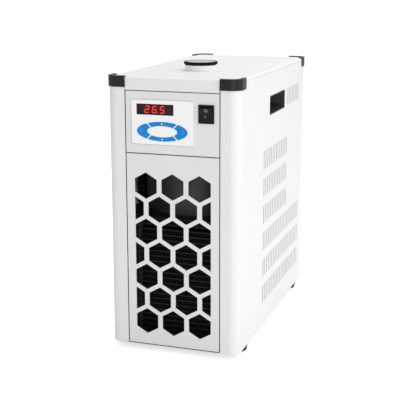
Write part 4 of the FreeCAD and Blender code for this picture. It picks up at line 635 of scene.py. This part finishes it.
film_white = finish("film_white", light=(0.985, 0.985, 0.985), dark=(0.965, 0.965, 0.965),
                    smooth=0.32, rough=0.40, grains=1500.0, height=0.00001)
dress(film_white, "keypad_overlay")
film_low, film_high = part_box("keypad_overlay")
ink_grey = finish("ink_grey", light=(0.22, 0.225, 0.23), dark=(0.17, 0.175, 0.18), smooth=0.45,
                  rough=0.55, grains=2500.0, height=0.00001)
ink_thick = 0.00004
border_inset = 0.0003
border_width = 0.0005
facing_front = Matrix.Rotation(math.radians(90), 4, "X")
border = bmesh.new()
bmesh.ops.create_grid(border, x_segments=1, y_segments=1, size=0.5, matrix=facing_front)
border_x = film_high.x - film_low.x - 2 * border_inset
border_z = film_high.z - film_low.z - 2 * border_inset
bmesh.ops.scale(border, verts=border.verts[:], vec=(border_x, 1, border_z))
bmesh.ops.inset_region(border, faces=border.faces[:], thickness=border_width, use_even_offset=True,
                       use_boundary=True)
inside = min(border.faces, key=lambda face: face.calc_center_median().length)
bmesh.ops.delete(border, geom=[inside], context="FACES_ONLY")
border_back = bmesh.ops.extrude_face_region(border, geom=border.faces[:])["geom"]
bmesh.ops.translate(border, vec=(0, ink_thick, 0), verts=moved(border_back))
bmesh.ops.recalc_face_normals(border, faces=border.faces[:])
film_middle = (film_low + film_high) / 2
bmesh.ops.translate(border, verts=border.verts[:],
                    vec=(film_middle.x, film_low.y - ink_thick, film_middle.z))
new_piece("keypad_border", border, "cabinet", "overlay_film", ink_grey)

# Keys: four blue quarters of an oval that press in behind the film. The upper and lower
# ones have a white dot, the outer ones two short lines.

key_blue = finish("key_blue", light=(0.003, 0.26, 0.74), dark=(0.002, 0.22, 0.68), smooth=0.34,
                  rough=0.44, grains=1800.0, height=0.00001, Specular_IOR_Level=0.25)
dress(key_blue, "key_left", "key_right", "key_up", "key_down")
ink_white = finish("ink_white", light=(0.88, 0.89, 0.90), dark=(0.82, 0.83, 0.84), smooth=0.40,
                   rough=0.50, grains=2500.0, height=0.00001)
ink_pale = finish("ink_pale", light=(0.14, 0.44, 0.86), dark=(0.10, 0.38, 0.80), smooth=0.40,
                  rough=0.50, grains=2500.0, height=0.00001)
dot_radius = 0.0012
dot_inset = 0.0038
for node, body in (("key_up", "up_key"), ("key_down", "down_key")):
    key_low, key_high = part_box(node)
    dot_x = (key_low.x + key_high.x) / 2
    dot_z = key_high.z - dot_inset if node == "key_up" else key_low.z + dot_inset
    dot_place = Matrix.Translation((dot_x, key_low.y - ink_thick / 2, dot_z)) @ facing_front
    dot = bmesh.new()
    bmesh.ops.create_cone(dot, cap_ends=True, segments=32, radius1=dot_radius, radius2=dot_radius,
                          depth=ink_thick, matrix=dot_place)
    new_piece(node + "_dot", dot, body, "key_blue", ink_white)
line_half = 0.0003
line_rise = 0.0016
line_outward = 0.003
upper_half_length = 0.0028
lower_half_length = 0.0022
for node, body, outward in (("key_left", "left_key", -1), ("key_right", "right_key", 1)):
    key_low, key_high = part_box(node)
    line_x = (key_low.x + key_high.x) / 2 + outward * line_outward
    line_z = (key_low.z + key_high.z) / 2
    lines = bmesh.new()
    for rise, half_length in ((line_rise, upper_half_length), (-line_rise, lower_half_length)):
        add_box(lines, (line_x - half_length, key_low.y - ink_thick, line_z + rise - line_half),
                (line_x + half_length, key_low.y, line_z + rise + line_half))
    new_piece(node + "_lines", lines, body, "key_blue", ink_pale)

# Display: a black window round a dark brown field with three red numerals. Each numeral is
# made of seven slanting bars and a point, and its unlit bars show faintly.

window_black = finish("window_black", light=(0.006, 0.005, 0.005), dark=(0.004, 0.003, 0.003),
                      smooth=0.22, rough=0.30, grains=1200.0, height=0.000004,
                      Specular_IOR_Level=0.3)
dress(window_black, "display_window")
window_low, window_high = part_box("display_window")
field_brown = finish("field_brown", light=(0.028, 0.014, 0.012), dark=(0.020, 0.010, 0.009),
                     smooth=0.34, rough=0.44, grains=3000.0, height=0.00001,
                     Specular_IOR_Level=0.25)
field_rim = 0.0022
field_proud = 0.00002
field_sunk = 0.0001
field_y = window_low.y - field_proud
field = bmesh.new()
add_box(field, (window_low.x + field_rim, field_y, window_low.z + field_rim),
        (window_high.x - field_rim, window_low.y + field_sunk, window_high.z - field_rim))
new_piece("display_field", field, "cabinet", "window_dark", field_brown)

lit_red = finish("lit_red", light=(0.80, 0.02, 0.02), dark=(0.70, 0.012, 0.012), smooth=0.35,
                 rough=0.45, grains=2000.0, height=0.00001, Emission_Color=(1.0, 0.010, 0.014, 1.0),
                 Emission_Strength=0.75)
unlit_bar = finish("unlit_bar", light=(0.044, 0.018, 0.016), dark=(0.036, 0.014, 0.012),
                   smooth=0.35, rough=0.45, grains=2000.0, height=0.00001)
numeral_height = 0.0112
numeral_width = 0.0075
numeral_shares = (("2", 0.282), ("6", 0.485), ("5", 0.695))
bar_width = 0.0014
point_radius = 0.0008
point_aside = point_radius * 1.4
bar_gap = 0.00012
bar_reach_x = (numeral_width - bar_width) / 2
bar_reach_z = (numeral_height - bar_width) / 2
slant = math.tan(math.radians(8))
lean_over = Matrix(((1, slant, 0, 0), (0, 1, 0, 0), (0, 0, 1, 0), (0, 0, 0, 1)))
numeral_y = field_y - ink_thick
numeral_z = (window_low.z + window_high.z) / 2
bars = {"top": (0, 1), "upper_left": (-1, 0.5), "upper_right": (1, 0.5), "middle": (0, 0),
        "lower_left": (-1, -0.5), "lower_right": (1, -0.5), "bottom": (0, -1)}
lit_bars = {"2": ("top", "upper_right", "middle", "lower_left", "bottom"),
            "6": ("top", "upper_left", "middle", "lower_left", "lower_right", "bottom"),
            "5": ("top", "upper_left", "middle", "lower_right", "bottom")}


def add_bar(form, middle_x, side_x, side_z):
    """Adds one bar of a numeral: a flat plate with pointed ends, slanted like the rest."""
    lying = side_x == 0
    half_straight = (bar_reach_x if lying else bar_reach_z / 2) - bar_gap - bar_width
    tip_radius = bar_width / math.sqrt(3)
    verts = bmesh.ops.create_circle(form, cap_ends=True, segments=6, radius=tip_radius)["verts"]
    bmesh.ops.scale(form, vec=(1, math.sqrt(3), 1), verts=verts)
    for vert in verts:
        vert.co.y += math.copysign(half_straight, vert.co.y)
    if lying:
        quarter_turn = Matrix.Rotation(math.radians(90), 3, "Z")
        bmesh.ops.rotate(form, cent=(0, 0, 0), matrix=quarter_turn, verts=verts)
    bmesh.ops.translate(form, vec=(side_x * bar_reach_x, side_z * bar_reach_z, 0), verts=verts)
    on_window = Matrix.Translation((middle_x, numeral_y, numeral_z)) @ facing_front @ lean_over
    bmesh.ops.transform(form, verts=verts, matrix=on_window)


numerals_lit = bmesh.new()
numerals_unlit = bmesh.new()
for mark, share in numeral_shares:
    middle_x = window_low.x + share * (window_high.x - window_low.x)
    for bar, (side_x, side_z) in bars.items():
        add_bar(numerals_lit if bar in lit_bars[mark] else numerals_unlit, middle_x, side_x, side_z)
    point_x = middle_x + numeral_width / 2 + point_aside - slant * numeral_height / 2
    point_z = numeral_z - numeral_height / 2 + point_radius
    point_place = Matrix.Translation((point_x, numeral_y, point_z)) @ facing_front
    bmesh.ops.create_circle(numerals_lit if mark == "6" else numerals_unlit, cap_ends=True,
                            segments=16, radius=point_radius, matrix=point_place)
for name, form, material in (("numerals_lit", numerals_lit, lit_red),
                             ("numerals_unlit", numerals_unlit, unlit_bar)):
    bar_backs = bmesh.ops.extrude_face_region(form, geom=form.faces[:])["geom"]
    bmesh.ops.translate(form, vec=(0, ink_thick, 0), verts=moved(bar_backs))
    bmesh.ops.recalc_face_normals(form, faces=form.faces[:])
    new_piece(name, form, "cabinet", "window_dark", material)

# Mains switch: a black moulded housing pressed into the control panel, with a hollowed rocker
# that tips on two trunnions. The rocker is marked with a ring and a bar.

switch_black = finish("switch_black", light=(0.008, 0.008, 0.009), dark=(0.005, 0.005, 0.006),
                      smooth=0.34, rough=0.46, grains=1800.0, height=0.00002,
                      Specular_IOR_Level=0.25)
dress(switch_black, "switch_housing", "switch_rocker")
mark_grey = finish("mark_grey", light=(0.50, 0.51, 0.51), dark=(0.44, 0.45, 0.45), smooth=0.45,
                   rough=0.55, grains=2500.0, height=0.00001)
joints = frame["record"]["behaviour"]["joints"]
rocker_joint = next(joint for joint in joints if joint["name"] == "mains_rocker")
rest_tilt = math.radians(7)
rocker_rest = Matrix.Translation(rocker_joint["pos_m"]) @ Matrix.Rotation(rest_tilt, 4, "X")
hollow_y = -0.0042
hollow_slope = math.atan2(0.0018, 0.0104)
mark_proud = 0.00005
ring_outside = 0.0023
ring_inside = 0.0017
ring_at = (0.0003, 0.0062)
bar_half_width = 0.00035
bar_half_height = 0.0020
bar_at = (-0.0012, -0.0027)


def on_rocker(mark_x, height):
    """Where a mark lies on the rocker's face, beside and above or below its middle."""
    depth = hollow_y - abs(height) * math.tan(hollow_slope)
    lean = math.copysign(hollow_slope, height)
    place = Matrix.Translation((mark_x, depth, height)) @ Matrix.Rotation(lean, 4, "X")
    return rocker_rest @ place @ facing_front


ring_mark = bmesh.new()
bmesh.ops.create_circle(ring_mark, segments=40, radius=ring_outside)
bmesh.ops.create_circle(ring_mark, segments=40, radius=ring_inside)
bmesh.ops.bridge_loops(ring_mark, edges=ring_mark.edges[:])
ring_front = bmesh.ops.extrude_face_region(ring_mark, geom=ring_mark.faces[:])["geom"]
bmesh.ops.translate(ring_mark, vec=(0, 0, mark_proud), verts=moved(ring_front))
bmesh.ops.recalc_face_normals(ring_mark, faces=ring_mark.faces[:])
bmesh.ops.transform(ring_mark, matrix=on_rocker(*ring_at), verts=ring_mark.verts[:])
new_piece("off_mark", ring_mark, "rocker", "switch_black", mark_grey)
bar_mark = bmesh.new()
add_box(bar_mark, (-bar_half_width, -bar_half_height, -mark_proud),
        (bar_half_width, bar_half_height, mark_proud))
bmesh.ops.transform(bar_mark, matrix=on_rocker(*bar_at), verts=bar_mark.verts[:])
new_piece("on_mark", bar_mark, "rocker", "switch_black", mark_grey)
